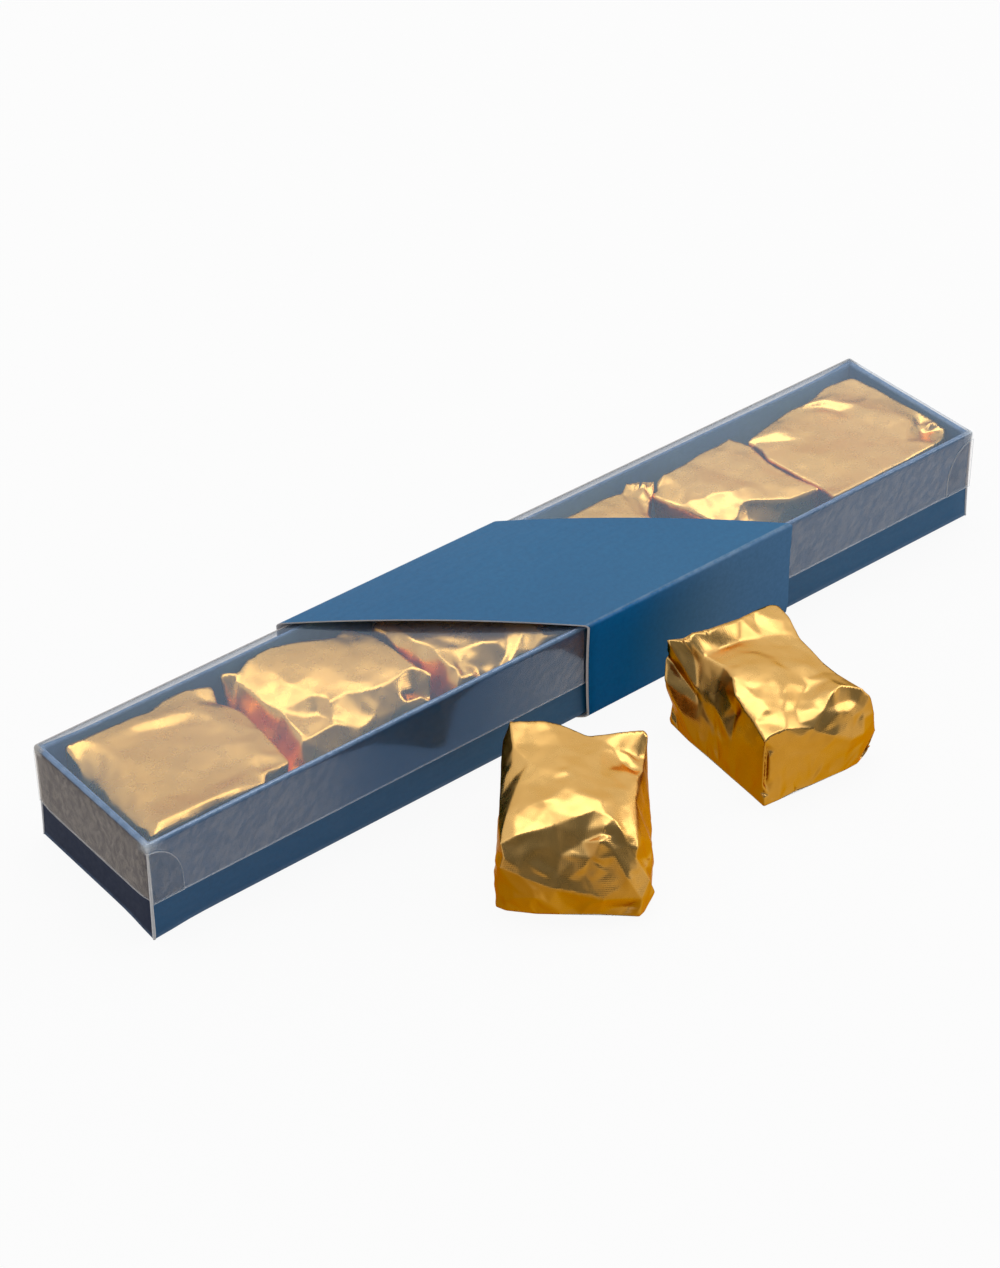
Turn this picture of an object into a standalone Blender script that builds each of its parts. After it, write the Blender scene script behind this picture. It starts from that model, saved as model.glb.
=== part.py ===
"""A box of candied chestnuts, in metres, +Z up.

A folded blue card tray holds six foil-wrapped chestnuts under a clear film lid. A blue card sleeve
with slanted ends goes round the middle, and two more wrapped chestnuts stand in front.
The origin is on the surface it stands on, under the middle of the tray. X runs along the tray,
and -Y is the front.
"""

import math

import bmesh
import bpy

# Tray: walls of folded double card, and a single card floor
TRAY_LENGTH = 0.2490
TRAY_WIDTH = 0.0442
TRAY_HEIGHT = 0.0254
TRAY_WALL = 0.0016
TRAY_FLOOR = 0.00045
TRAY_CORNER = 0.0009
TRAY_RIM_RADIUS = 0.0006
TRAY_FOLD_RADIUS = 0.0003

# Lid: a clear film cap over the tray, with a rounded glued ear at each end of its long skirts
LID_FILM = 0.00025
LID_SKIRT = 0.0167
LID_FOLD_RADIUS = 0.0007
EAR_LENGTH = 0.0086
EAR_HEIGHT = 0.0146
EAR_STRAIGHT = 0.0041
EAR_RISE = 0.0003

# Sleeve: one wrap of card, whose ends run slantwise over the top and under the bottom
SLEEVE_BOARD = 0.0004
SLEEVE_PANEL_LENGTH = 0.0640
SLEEVE_SLANT_LENGTH = 0.0555
SLEEVE_OFFSET = 0.0022
SLEEVE_FOLD_RADIUS = 0.0009
SLEEVE_BOW = 0.0013

# The least radius of a card or film corner
LEAST_CORNER = 0.0002

# Gaps between pieces that touch or slide
SEAT_GAP = 0.0003
LID_GAP = 0.0003
SLEEVE_GAP = 0.0003
CROWN_GAP = 0.0006
SIDE_GAP = 0.0008

# Wrapped chestnuts
FOIL = 0.00035
NUT_GAP = 0.0003
PARCEL_COUNT = 6
LOOSE_A_SIZE = (0.0350, 0.0400, 0.0240)
LOOSE_A_PLACE = (-0.0360, -0.0594)
LOOSE_A_TURN = math.radians(-42.4)
LOOSE_B_SIZE = (0.0315, 0.0405, 0.0230)
LOOSE_B_PLACE = (0.0247, -0.0567)
LOOSE_B_TURN = math.radians(-9.0)

ARC_STEPS = 3
EAR_STEPS = 6
ROOF_STEPS = 12
RING_POINTS = 24
NUT_POINTS = 16
CORNER_POWER = 5.5
NUT_POWER = 2.3

# Height share and size share of each ring of foil, from the fold slot under the base to the crown
FOIL_RING_SHARES = (
    (0.0, 0.24),
    (0.0, 0.93),
    (0.04, 0.99),
    (0.45, 1.0),
    (0.80, 0.97),
    (0.93, 0.89),
    (1.0, 0.58),
)
# The same for a chestnut in the room that its foil leaves
NUT_RING_SHARES = (
    (0.0, 0.52),
    (0.10, 0.80),
    (0.32, 0.98),
    (0.55, 1.0),
    (0.80, 0.82),
    (0.95, 0.50),
)
NUT_SIZE_SHARE = 0.86
NUT_HEIGHT_SHARE = 0.80

# Six parcels in the tray: length and depth shares of the room that each has, height share, sideways
# shift share, turn, then the reach and the shoulder height in eight directions, +X first
TRAY_PARCEL_SHARES = (
    (0.97, 0.98, 0.98, 0.0, 0.5,
     (0.98, 0.97, 0.97, 1.0, 1.0, 0.98, 0.95, 1.0), (1.0, 0.97, 0.96, 1.0, 0.94, 0.98, 0.92, 1.0)),
    (0.92, 0.94, 1.0, 0.05, -1.0,
     (1.0, 0.98, 0.95, 1.0, 0.97, 0.98, 1.0, 1.0), (0.95, 1.0, 0.97, 1.0, 0.98, 0.93, 0.97, 1.0)),
    (0.86, 0.93, 0.97, -0.03, 1.5,
     (0.97, 1.0, 0.96, 1.0, 1.0, 0.98, 0.97, 1.0), (1.0, 0.95, 0.98, 1.0, 0.93, 1.0, 0.96, 0.98)),
    (0.92, 0.93, 0.98, 0.05, -1.0,
     (1.0, 1.0, 0.97, 0.98, 0.96, 1.0, 0.98, 1.0), (0.97, 1.0, 0.94, 0.97, 1.0, 0.98, 1.0, 0.94)),
    (0.83, 0.92, 1.0, 0.06, 1.0,
     (0.98, 0.97, 1.0, 1.0, 0.98, 1.0, 0.96, 1.0), (1.0, 0.98, 0.95, 1.0, 0.97, 0.94, 1.0, 0.97)),
    (0.95, 0.96, 0.97, -0.01, -0.5,
     (1.0, 1.0, 0.98, 0.97, 1.0, 0.98, 0.97, 1.0), (0.94, 1.0, 0.97, 0.95, 1.0, 0.97, 0.98, 1.0)),
)
LOOSE_A_SHARES = (
    (1.0, 0.98, 0.96, 1.0, 0.97, 0.97, 1.0, 0.98), (1.0, 0.93, 0.84, 0.97, 0.95, 0.84, 1.0, 0.80)
)
LOOSE_B_SHARES = (
    (1.0, 0.98, 0.98, 1.0, 0.97, 1.0, 0.98, 1.0), (1.0, 0.98, 1.0, 0.90, 0.88, 0.84, 0.88, 1.0)
)

# Where each piece lies, worked out from the sizes above
TRAY_BASE = SLEEVE_BOARD + SEAT_GAP
PARCEL_BASE = TRAY_BASE + TRAY_FLOOR + SEAT_GAP
LID_LENGTH = TRAY_LENGTH + 2 * (LID_GAP + LID_FILM)
LID_WIDTH = TRAY_WIDTH + 2 * (LID_GAP + LID_FILM)
LID_UNDERSIDE = TRAY_BASE + TRAY_HEIGHT + LID_GAP
LID_TOP = LID_UNDERSIDE + LID_FILM
SLEEVE_INNER_WIDTH = LID_WIDTH + 2 * (LID_FILM + SLEEVE_GAP)
SLEEVE_WIDTH = SLEEVE_INNER_WIDTH + 2 * SLEEVE_BOARD
SLEEVE_ROOF = LID_TOP + SLEEVE_GAP + SLEEVE_BOARD
TRAY_ROOM_LENGTH = TRAY_LENGTH - 2 * (TRAY_WALL + SIDE_GAP)
TRAY_ROOM_WIDTH = TRAY_WIDTH - 2 * (TRAY_WALL + SIDE_GAP)
PARCEL_ROOM = LID_UNDERSIDE - PARCEL_BASE - CROWN_GAP


def clear_scene():
    for obj in list(bpy.data.objects):
        bpy.data.objects.remove(obj, do_unlink=True)


def material(name, colour, roughness, metallic=0.0, alpha=1.0):
    made = bpy.data.materials.new(name)
    made.use_nodes = True
    shader = made.node_tree.nodes["Principled BSDF"]
    shader.inputs["Base Color"].default_value = (*colour, 1.0)
    shader.inputs["Roughness"].default_value = roughness
    shader.inputs["Metallic"].default_value = metallic
    shader.inputs["Alpha"].default_value = alpha
    made.diffuse_color = (*colour, alpha)
    return made


def skin(name, rings, caps=True):
    """One closed body through rings of equally many points, capped at its first and last ring.

    Without caps the last ring is the first one again, and the body is a closed ring of rings.
    """
    mesh = bmesh.new()
    loops = [[mesh.verts.new(point) for point in ring] for ring in (rings if caps else rings[:-1])]
    if not caps:
        loops.append(loops[0])
    count = len(rings[0])
    for lower, upper in zip(loops, loops[1:]):
        for i in range(count):
            j = (i + 1) % count
            mesh.faces.new((lower[i], lower[j], upper[j], upper[i]))
    if caps:
        mesh.faces.new(loops[0])
        mesh.faces.new(loops[-1])
    bmesh.ops.recalc_face_normals(mesh, faces=mesh.faces)
    data = bpy.data.meshes.new(name)
    mesh.to_mesh(data)
    mesh.free()
    return data


def place(name, data, finish, location=(0, 0, 0), turn=0.0, parent=None):
    obj = bpy.data.objects.new(name, data)
    bpy.context.scene.collection.objects.link(obj)
    obj.location = location
    obj.rotation_euler = (0, 0, turn)
    obj.parent = parent
    if data:
        data.materials.append(finish)
    return obj


def quarter(inset, height, radius, start):
    """Points of a quarter turn about (inset, height), as (inset, height), from the angle start."""
    angles = [start + math.pi / 2 * i / ARC_STEPS for i in range(ARC_STEPS + 1)]
    return [(inset + radius * math.cos(a), height + radius * math.sin(a)) for a in angles]


def rounded_rectangle(length, width, radius, height):
    points = []
    for quadrant in range(4):
        along = 1 if quadrant in (0, 3) else -1
        across = 1 if quadrant in (0, 1) else -1
        centre = (along * (length / 2 - radius), across * (width / 2 - radius))
        for i in range(ARC_STEPS + 1):
            angle = math.pi / 2 * (quadrant + i / ARC_STEPS)
            x = centre[0] + radius * math.cos(angle)
            y = centre[1] + radius * math.sin(angle)
            points.append((x, y, height))
    return points


def rectangular_shell(name, length, width, corner, profile):
    """A profile of (inset, height) pairs taken round a rectangle whose outer corners are rounded."""
    rings = []
    for inset, height in profile:
        radius = max(corner - inset, LEAST_CORNER)
        rings.append(rounded_rectangle(length - 2 * inset, width - 2 * inset, radius, height))
    return skin(name, rings)


def make_tray(finish, parent):
    profile = [(TRAY_FOLD_RADIUS, 0), (0, TRAY_FOLD_RADIUS)]
    rim = TRAY_HEIGHT - TRAY_RIM_RADIUS
    outer_arc = quarter(TRAY_RIM_RADIUS, rim, TRAY_RIM_RADIUS, math.pi / 2)
    inner_arc = quarter(TRAY_WALL - TRAY_RIM_RADIUS, rim, TRAY_RIM_RADIUS, 0)
    profile += outer_arc[::-1] + inner_arc[::-1]
    profile += [(TRAY_WALL, TRAY_FLOOR)]
    data = rectangular_shell("tray", TRAY_LENGTH, TRAY_WIDTH, TRAY_CORNER, profile)
    return place("tray", data, finish, (0, 0, TRAY_BASE), parent=parent)


def ear_outline():
    """The ear as (distance from the lid's end, height over the skirt's lower edge)."""
    outline = [(LID_FOLD_RADIUS, EAR_RISE)]
    for i in range(EAR_STEPS + 1):
        angle = math.pi / 2 * i / EAR_STEPS
        along = LID_FOLD_RADIUS + (EAR_LENGTH - LID_FOLD_RADIUS) * math.cos(angle)
        up = EAR_STRAIGHT + (EAR_HEIGHT - EAR_STRAIGHT) * math.sin(angle)
        outline.append((along, up))
    return outline[:1] + [(EAR_LENGTH, EAR_RISE)] + outline[1:]


def add_ear(lid, end, side):
    """Joins one ear to a long skirt. end and side are -1 or 1."""
    inner = side * (LID_WIDTH - LID_FILM) / 2
    outer = side * (LID_WIDTH / 2 + LID_FILM)
    bottom = LID_TOP - LID_SKIRT
    rings = [
        [(end * (LID_LENGTH / 2 - x), y, bottom + z) for x, z in ear_outline()]
        for y in (inner, outer)
    ]
    ear = place(f"ear_{end}_{side}", skin("ear", rings), lid.data.materials[0])
    ear.hide_render = True
    ear.display_type = "WIRE"
    union = lid.modifiers.new(ear.name, "BOOLEAN")
    union.operation = "UNION"
    union.object = ear


def make_lid(finish, parent):
    fold_height = LID_TOP - LID_FOLD_RADIUS
    ceiling = quarter(LID_FOLD_RADIUS, fold_height, LID_FOLD_RADIUS - LID_FILM, math.pi / 2)
    top = quarter(LID_FOLD_RADIUS, fold_height, LID_FOLD_RADIUS, math.pi / 2)
    bottom = LID_TOP - LID_SKIRT
    profile = ceiling + [(LID_FILM, bottom), (0, bottom)] + top[::-1]
    data = rectangular_shell("lid", LID_LENGTH, LID_WIDTH, LID_FOLD_RADIUS, profile)
    lid = place("lid", data, finish, parent=parent)
    for end in (-1, 1):
        for side in (-1, 1):
            add_ear(lid, end, side)
    return lid


def sleeve_section(inset):
    """The sleeve's section as (y, z) points, with a bowed roof, set in from the outside by inset."""
    radius = SLEEVE_FOLD_RADIUS - inset
    half = SLEEVE_WIDTH / 2 - inset
    roof = SLEEVE_ROOF - inset
    flat = half - radius
    points = []
    corners = ((flat, radius + inset, -1), (flat, roof - radius, 0), (-flat, roof - radius, 1))
    for y, z, quadrant in corners + ((-flat, radius + inset, 2),):
        for i in range(ARC_STEPS + 1):
            angle = math.pi / 2 * (quadrant + i / ARC_STEPS)
            points.append((y + radius * math.cos(angle), z + radius * math.sin(angle)))
        if quadrant == 0:
            for step in range(1, ROOF_STEPS):
                share = 1 - 2 * step / ROOF_STEPS
                points.append((flat * share, roof + SLEEVE_BOW * (1 - share**2)))
    return points


def make_sleeve(finish, parent):
    """The wrap's ends shift along X with Y, so that its front and back panels are square-cut."""
    loops = []
    for inset, ends in ((SLEEVE_BOARD, (1, -1)), (0, (-1, 1))):
        section = sleeve_section(inset)
        for end in ends:
            middle = [-SLEEVE_SLANT_LENGTH * y / SLEEVE_WIDTH for y, _ in section]
            loops.append(
                [(x + end * SLEEVE_PANEL_LENGTH / 2, y, z) for x, (y, z) in zip(middle, section)]
            )
    data = skin("sleeve", loops + loops[:1], caps=False)
    return place("sleeve", data, finish, (SLEEVE_OFFSET, 0, 0), parent=parent)


def eighths(shares, angle):
    """A value from a table of eight directions, even steps of a turn from +X, at any angle."""
    step = angle / (2 * math.pi) * len(shares)
    first = int(step) % len(shares)
    part = step - int(step)
    return shares[first] * (1 - part) + shares[(first + 1) % len(shares)] * part


def lump_ring(size, height, power, count, reach_shares, height_shares):
    """One ring of a squared-off lump of length, depth and height size, from its base at zero."""
    height_share, size_share = height
    points = []
    for i in range(count):
        angle = 2 * math.pi * i / count
        reach = size_share * eighths(reach_shares, angle)
        c = math.cos(angle)
        s = math.sin(angle)
        x = size[0] / 2 * math.copysign(abs(c) ** (2 / power), c) * reach
        y = size[1] / 2 * math.copysign(abs(s) ** (2 / power), s) * reach
        sink = (1 - eighths(height_shares, angle)) * height_share * size_share
        points.append((x, y, size[2] * (height_share - sink)))
    return points


def foil_rings(size, reach_shares, height_shares):
    return [
        lump_ring(size, share, CORNER_POWER, RING_POINTS, reach_shares, height_shares)
        for share in FOIL_RING_SHARES
    ]


def make_wrapper(name, size, shares, finish, parent):
    """Foil folded round a chestnut, with the slot under its base where the folds meet."""
    outer = foil_rings(size, *shares)
    room = [side - 2 * FOIL for side in size]
    inner = [[(x, y, z + FOIL) for x, y, z in ring] for ring in foil_rings(room, *shares)]
    return place(name, skin(name, inner[::-1] + outer), finish, parent=parent)


def make_chestnut(name, size, shares, finish, parent):
    room = [(side - 2 * (FOIL + NUT_GAP)) for side in size]
    body = [room[0] * NUT_SIZE_SHARE, room[1] * NUT_SIZE_SHARE, room[2] * NUT_HEIGHT_SHARE]
    reach_shares, _ = shares
    level = (1,) * len(reach_shares)
    rings = [
        lump_ring(body, share, NUT_POWER, NUT_POINTS, reach_shares, level)
        for share in NUT_RING_SHARES
    ]
    data = skin(name, rings)
    data.shade_smooth()
    return place(name, data, finish, (0, 0, FOIL + NUT_GAP), parent=parent)


def make_parcel(label, size, location, turn, shares, foil, candy, parent):
    seat = place(f"parcel_{label}", None, None, location, turn, parent)
    make_wrapper(f"wrapper_{label}", size, shares, foil, seat)
    make_chestnut(f"chestnut_{label}", size, shares, candy, seat)


def fill_tray(foil, candy, parent):
    pitch = TRAY_ROOM_LENGTH / PARCEL_COUNT
    for i in range(PARCEL_COUNT):
        row = TRAY_PARCEL_SHARES[i % len(TRAY_PARCEL_SHARES)]
        length_share, depth_share, height_share, shift_share, turn, *shares = row
        size = (pitch * length_share, TRAY_ROOM_WIDTH * depth_share, PARCEL_ROOM * height_share)
        middle = (i + 0.5 + shift_share) * pitch - TRAY_ROOM_LENGTH / 2
        turned = math.radians(turn)
        make_parcel(i + 1, size, (middle, 0, PARCEL_BASE), turned, shares, foil, candy, parent)


def main():
    clear_scene()
    blue_card = material("blue_card", (0.02, 0.11, 0.25), 0.45)
    sleeve_card = material("sleeve_card", (0.03, 0.13, 0.28), 0.45)
    clear_film = material("clear_film", (0.9, 0.93, 0.95), 0.08, alpha=0.25)
    foil = material("gold_foil", (0.80, 0.50, 0.14), 0.32, metallic=1.0)
    candy = material("candied_chestnut", (0.20, 0.08, 0.03), 0.30)

    box = place("box", None, None)
    make_tray(blue_card, box)
    make_lid(clear_film, box)
    make_sleeve(sleeve_card, box)
    fill_tray(foil, candy, box)
    for label, size, spot, turn, shares in (
        ("loose_a", LOOSE_A_SIZE, LOOSE_A_PLACE, LOOSE_A_TURN, LOOSE_A_SHARES),
        ("loose_b", LOOSE_B_SIZE, LOOSE_B_PLACE, LOOSE_B_TURN, LOOSE_B_SHARES),
    ):
        make_parcel(label, size, (*spot, 0), turn, shares, foil, candy, box)


main()
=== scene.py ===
"""The looks of the candied chestnut box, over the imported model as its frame.

A blue card tray under a clear film lid, a blue card sleeve with slanted ends, six gold parcels in
the tray and two in front of it. World units are metres. Sizes below are in millimetres, and mm()
turns them into metres.
"""

import math

import bmesh
import bpy
import numpy as np
from mathutils import Matrix, Vector, noise
from mathutils.geometry import delaunay_2d_cdt


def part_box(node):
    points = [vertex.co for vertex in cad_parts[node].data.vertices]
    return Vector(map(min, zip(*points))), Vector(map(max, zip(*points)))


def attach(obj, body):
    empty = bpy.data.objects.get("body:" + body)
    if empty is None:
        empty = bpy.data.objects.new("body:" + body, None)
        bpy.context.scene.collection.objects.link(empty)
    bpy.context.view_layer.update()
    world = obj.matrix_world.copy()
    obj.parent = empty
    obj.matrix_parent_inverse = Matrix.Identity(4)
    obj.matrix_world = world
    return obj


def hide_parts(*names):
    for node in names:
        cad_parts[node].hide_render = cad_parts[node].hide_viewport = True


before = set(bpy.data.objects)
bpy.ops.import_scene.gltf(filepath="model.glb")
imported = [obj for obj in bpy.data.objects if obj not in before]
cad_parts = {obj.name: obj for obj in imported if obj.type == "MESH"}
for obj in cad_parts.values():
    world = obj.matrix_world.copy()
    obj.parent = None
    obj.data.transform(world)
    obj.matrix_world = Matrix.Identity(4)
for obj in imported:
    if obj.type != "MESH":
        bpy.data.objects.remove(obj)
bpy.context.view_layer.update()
MILLIMETRE = 0.001
IN_A_METRE = 1000
TINY = 1e-6


def mm(value):
    return value * MILLIMETRE


def node_box(node):
    """A node's lowest and highest corner in millimetres."""
    return tuple(np.array(corner) * IN_A_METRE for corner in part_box(node))


# The photograph's camera
IMAGE_WIDTH = 1000
IMAGE_HEIGHT = 1268
SENSOR = 36.0
FOCAL_PIXELS = 3293
CAMERA_PLACE = np.array([-396.5, -486.7, 487.6])
CAMERA_YAW = math.radians(38.46)
CAMERA_PITCH = math.radians(37.26)
CAMERA_ROLL = math.radians(0.70)
CLIP_NEAR = 0.01
CLIP_FAR = 20.0


def camera_axes():
    """Unit vectors of the picture's right, down and forward."""
    level = math.cos(CAMERA_PITCH)
    ahead = np.array(
        [math.sin(CAMERA_YAW) * level, math.cos(CAMERA_YAW) * level, -math.sin(CAMERA_PITCH)]
    )
    right = np.array([math.cos(CAMERA_YAW), -math.sin(CAMERA_YAW), 0.0])
    down = np.cross(ahead, right)
    c, s = math.cos(CAMERA_ROLL), math.sin(CAMERA_ROLL)
    return c * right + s * down, -s * right + c * down, ahead


RIGHT, DOWN, AHEAD = camera_axes()


def pixel_ray(px, py):
    """The way from the camera through a pixel of the photograph."""
    ray = (px - IMAGE_WIDTH / 2) / FOCAL_PIXELS * RIGHT + AHEAD
    return ray + (py - IMAGE_HEIGHT / 2) / FOCAL_PIXELS * DOWN


def link_object(name, data):
    obj = bpy.data.objects.new(name, data)
    bpy.context.scene.collection.objects.link(obj)
    return obj


def add_camera():
    data = bpy.data.cameras.new("camera")
    data.sensor_width = SENSOR
    data.lens = FOCAL_PIXELS / IMAGE_HEIGHT * SENSOR
    data.clip_start = CLIP_NEAR
    data.clip_end = CLIP_FAR
    camera = link_object("camera", data)
    turned = Matrix(np.array([RIGHT, -DOWN, -AHEAD]).T.tolist()).to_4x4()
    camera.matrix_world = Matrix.Translation(Vector(mm(CAMERA_PLACE))) @ turned
    bpy.context.scene.camera = camera


# Node materials
WHOLE = (0.0, 1.0)
MIDDLE = (0.3, 0.7)


class Nodes:
    """A node tree and short calls that add nodes to it."""

    def __init__(self, tree, output):
        self.tree = tree
        tree.nodes.clear()
        self.out = tree.nodes.new(output)

    def add(self, kind, settings=None, **inputs):
        """A node. Its inputs are named with _ for a space, or by an i and their number."""
        made = self.tree.nodes.new(kind)
        for key, value in (settings or {}).items():
            setattr(made, key, value)
        for key, value in inputs.items():
            numbered = key[0] == "i" and key[1:].isdigit()
            self.put(made.inputs[int(key[1:]) if numbered else key.replace("_", " ")], value)
        return made

    def put(self, socket, value):
        if isinstance(value, bpy.types.NodeSocket):
            self.tree.links.new(value, socket)
        elif isinstance(value, bpy.types.Node):
            self.tree.links.new(value.outputs[0], socket)
        else:
            socket.default_value = value

    def maths(self, operation, first, second=None, clamp=False):
        made = self.add("ShaderNodeMath", {"operation": operation, "use_clamp": clamp}, i0=first)
        if second is not None:
            self.put(made.inputs[1], second)
        return made.outputs[0]

    def spread(self, value, given, wanted=WHOLE, smooth=True):
        """Turns one range of values into another, and holds what is outside at its ends."""
        kind = "SMOOTHSTEP" if smooth else "LINEAR"
        made = self.add("ShaderNodeMapRange", {"interpolation_type": kind})
        for socket, number in zip(made.inputs, (value, *given, *wanted)):
            self.put(socket, number)
        return made.outputs[0]

    def noise(self, where, scale, detail=2.0, rough=0.5, distortion=0.0):
        return self.add(
            "ShaderNodeTexNoise", Vector=where, Scale=scale, Detail=detail, Roughness=rough,
            Distortion=distortion,
        ).outputs[0]

    def blend(self, share, first, second, kind="MIX"):
        settings = {"data_type": "RGBA", "blend_type": kind}
        return self.add("ShaderNodeMix", settings, Factor=share, A=first, B=second).outputs["Result"]

    def scaled(self, where, scale, rotation=(0, 0, 0)):
        return self.add("ShaderNodeMapping", Vector=where, Scale=scale, Rotation=rotation).outputs[0]

    def bump(self, height, strength, distance, normal=None):
        made = self.add("ShaderNodeBump", Height=height, Strength=strength, Distance=mm(distance))
        if normal is not None:
            self.put(made.inputs["Normal"], normal)
        return made.outputs[0]

    def marked(self, name, output="Fac"):
        """What mark() or mark_sheet() kept for the points."""
        return self.add("ShaderNodeAttribute", {"attribute_name": name}).outputs[output]

    def place(self):
        return self.add("ShaderNodeTexCoord").outputs["Object"]

    def split(self, vector):
        """The x, y and z of a vector."""
        return self.add("ShaderNodeSeparateXYZ", Vector=vector).outputs

    def facing(self):
        """The x, y and z of the way that the surface faces."""
        return self.split(self.add("ShaderNodeNewGeometry").outputs["Normal"])

    def skin(self, colour, rough, **inputs):
        kind = "ShaderNodeBsdfPrincipled"
        return self.add(kind, Base_Color=colour, Roughness=rough, **inputs)

    def mix(self, share, first, second):
        return self.add("ShaderNodeMixShader", i0=share, i1=first, i2=second)

    def done(self, shader):
        self.put(self.out.inputs["Surface"], shader)


class Finish(Nodes):
    """A material."""

    def __init__(self, name):
        self.made = bpy.data.materials.new(name)
        self.made.use_nodes = True
        super().__init__(self.made.node_tree, "ShaderNodeOutputMaterial")

    def done(self, shader):
        super().done(shader)
        return self.made


def rgb(red, green, blue):
    return (red, green, blue, 1.0)


def card_finish(name, light, dark, worn, gloss, shine, patchy=0.3, along=None, tints=()):
    """Satin printed card: faint mottle, broad shifts of shade, a fine grain, paler worn folds, which on
    the tray's rim also carry a painted highlight.

    With along, a painted shade goes from dark to light between two places along x, in millimetres.
    Each tint is an attribute's name and the colour that it brings in; the tray's inside tint is painted
    light."""
    m = Finish(name)
    place = m.place()
    if along is None:
        shade = m.spread(m.noise(place, scale=14.0, detail=1.0), (0.35, 0.65))
    else:
        shade = m.spread(m.split(place)[0], (mm(along[0]), mm(along[1])))
    colour = m.blend(shade, rgb(*dark), rgb(*light))
    for attribute, tint in tints:
        colour = m.blend(m.marked(attribute), colour, rgb(*tint))
    rub = m.noise(place, scale=420.0, detail=4.0, rough=0.62)
    patches = m.spread(rub, (0.38, 0.62), (1 - patchy, 1 + patchy))
    # Paler worn folds; on the tray's rim this is also a painted highlight
    wear_and_highlight = m.maths("MULTIPLY", m.marked("worn"), patches, clamp=True)
    colour = m.blend(wear_and_highlight, colour, rgb(*worn))
    mottle = m.noise(place, scale=900.0, detail=3.0, rough=0.6)
    fleck = m.spread(mottle, MIDDLE, (0.93, 1.07), smooth=False)
    grey = m.add("ShaderNodeCombineColor", i0=fleck, i1=fleck, i2=fleck)
    colour = m.blend(1.0, colour, grey.outputs[0], "MULTIPLY")
    scuff = m.noise(m.scaled(place, (60.0, 300.0, 300.0)), scale=3.0, detail=3.0, rough=0.55)
    rough = m.spread(scuff, MIDDLE, (gloss - 0.05, gloss + 0.07), smooth=False)
    grain = m.noise(place, scale=2600.0, detail=2.0, rough=0.6)
    normal = m.bump(grain, strength=0.10, distance=0.05)
    normal = m.bump(m.noise(place, scale=55.0), strength=0.22, distance=0.30, normal=normal)
    return m.done(m.skin(colour, rough, Normal=normal, Specular_IOR_Level=shine))


CORE_GREYS = rgb(0.62, 0.61, 0.62), rgb(0.86, 0.85, 0.86)


def cut_edge_finish():
    """The grey-white core of cut card."""
    m = Finish("card_core")
    fine = m.scaled(m.place(), (500.0, 500.0, 500.0))
    fibre = m.noise(fine, scale=3.0, detail=3.0, rough=0.6)
    colour = m.blend(fibre, *CORE_GREYS)
    return m.done(m.skin(colour, 0.8, Normal=m.bump(fibre, strength=0.3, distance=0.05)))


# A film mirrors at both its faces; the outer one alone carries it here
FILM_FACES = 1.9
FILM_INDEX = 1.5
FILM_TINT = rgb(0.985, 0.983, 0.98)
# Painted reflection tints of the mirror: the long skirts, from streak to streak, then where they mirror
# least, the ends and the top
SKIRT_PAINTED_REFLECTIONS = rgb(0.70, 0.68, 0.73), rgb(0.96, 0.92, 0.93)
CLEAR_PAINTED_REFLECTION = rgb(0.26, 0.36, 0.58)
END_PAINTED_REFLECTIONS = rgb(0.35, 0.29, 0.235), rgb(0.50, 0.42, 0.335)
TOP_PAINTED_REFLECTION = rgb(0.74, 0.86, 1.0)
# Matt veils of painted reflection on the sides and on the top
SIDE_PAINTED_REFLECTION_VEIL = rgb(0.66, 0.56, 0.50)
TOP_PAINTED_REFLECTION_VEIL = rgb(0.42, 0.62, 1.0)
FOLD_WHITE_AND_HIGHLIGHT = rgb(0.80, 0.86, 0.92)
PAINTED_REFLECTION_GREY = rgb(0.44, 0.39, 0.34)
STREAK_TURN = (math.radians(28), math.radians(-38), 0)
STREAK_SHAPE = (760.0, 760.0, 60.0)
STREAK_RANGE = (0.40, 0.62)
# From where to where a face counts as turned up or to an end
FACING_RANGE = (0.3, 0.8)
# The stretch of the long skirts, along x in millimetres, that mirrors least: a darker painted
# reflection
CLEAR_MIDDLE = -48.0
CLEAR_HALF = 27.0
CLEAR_SOFT = 17.0


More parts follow.
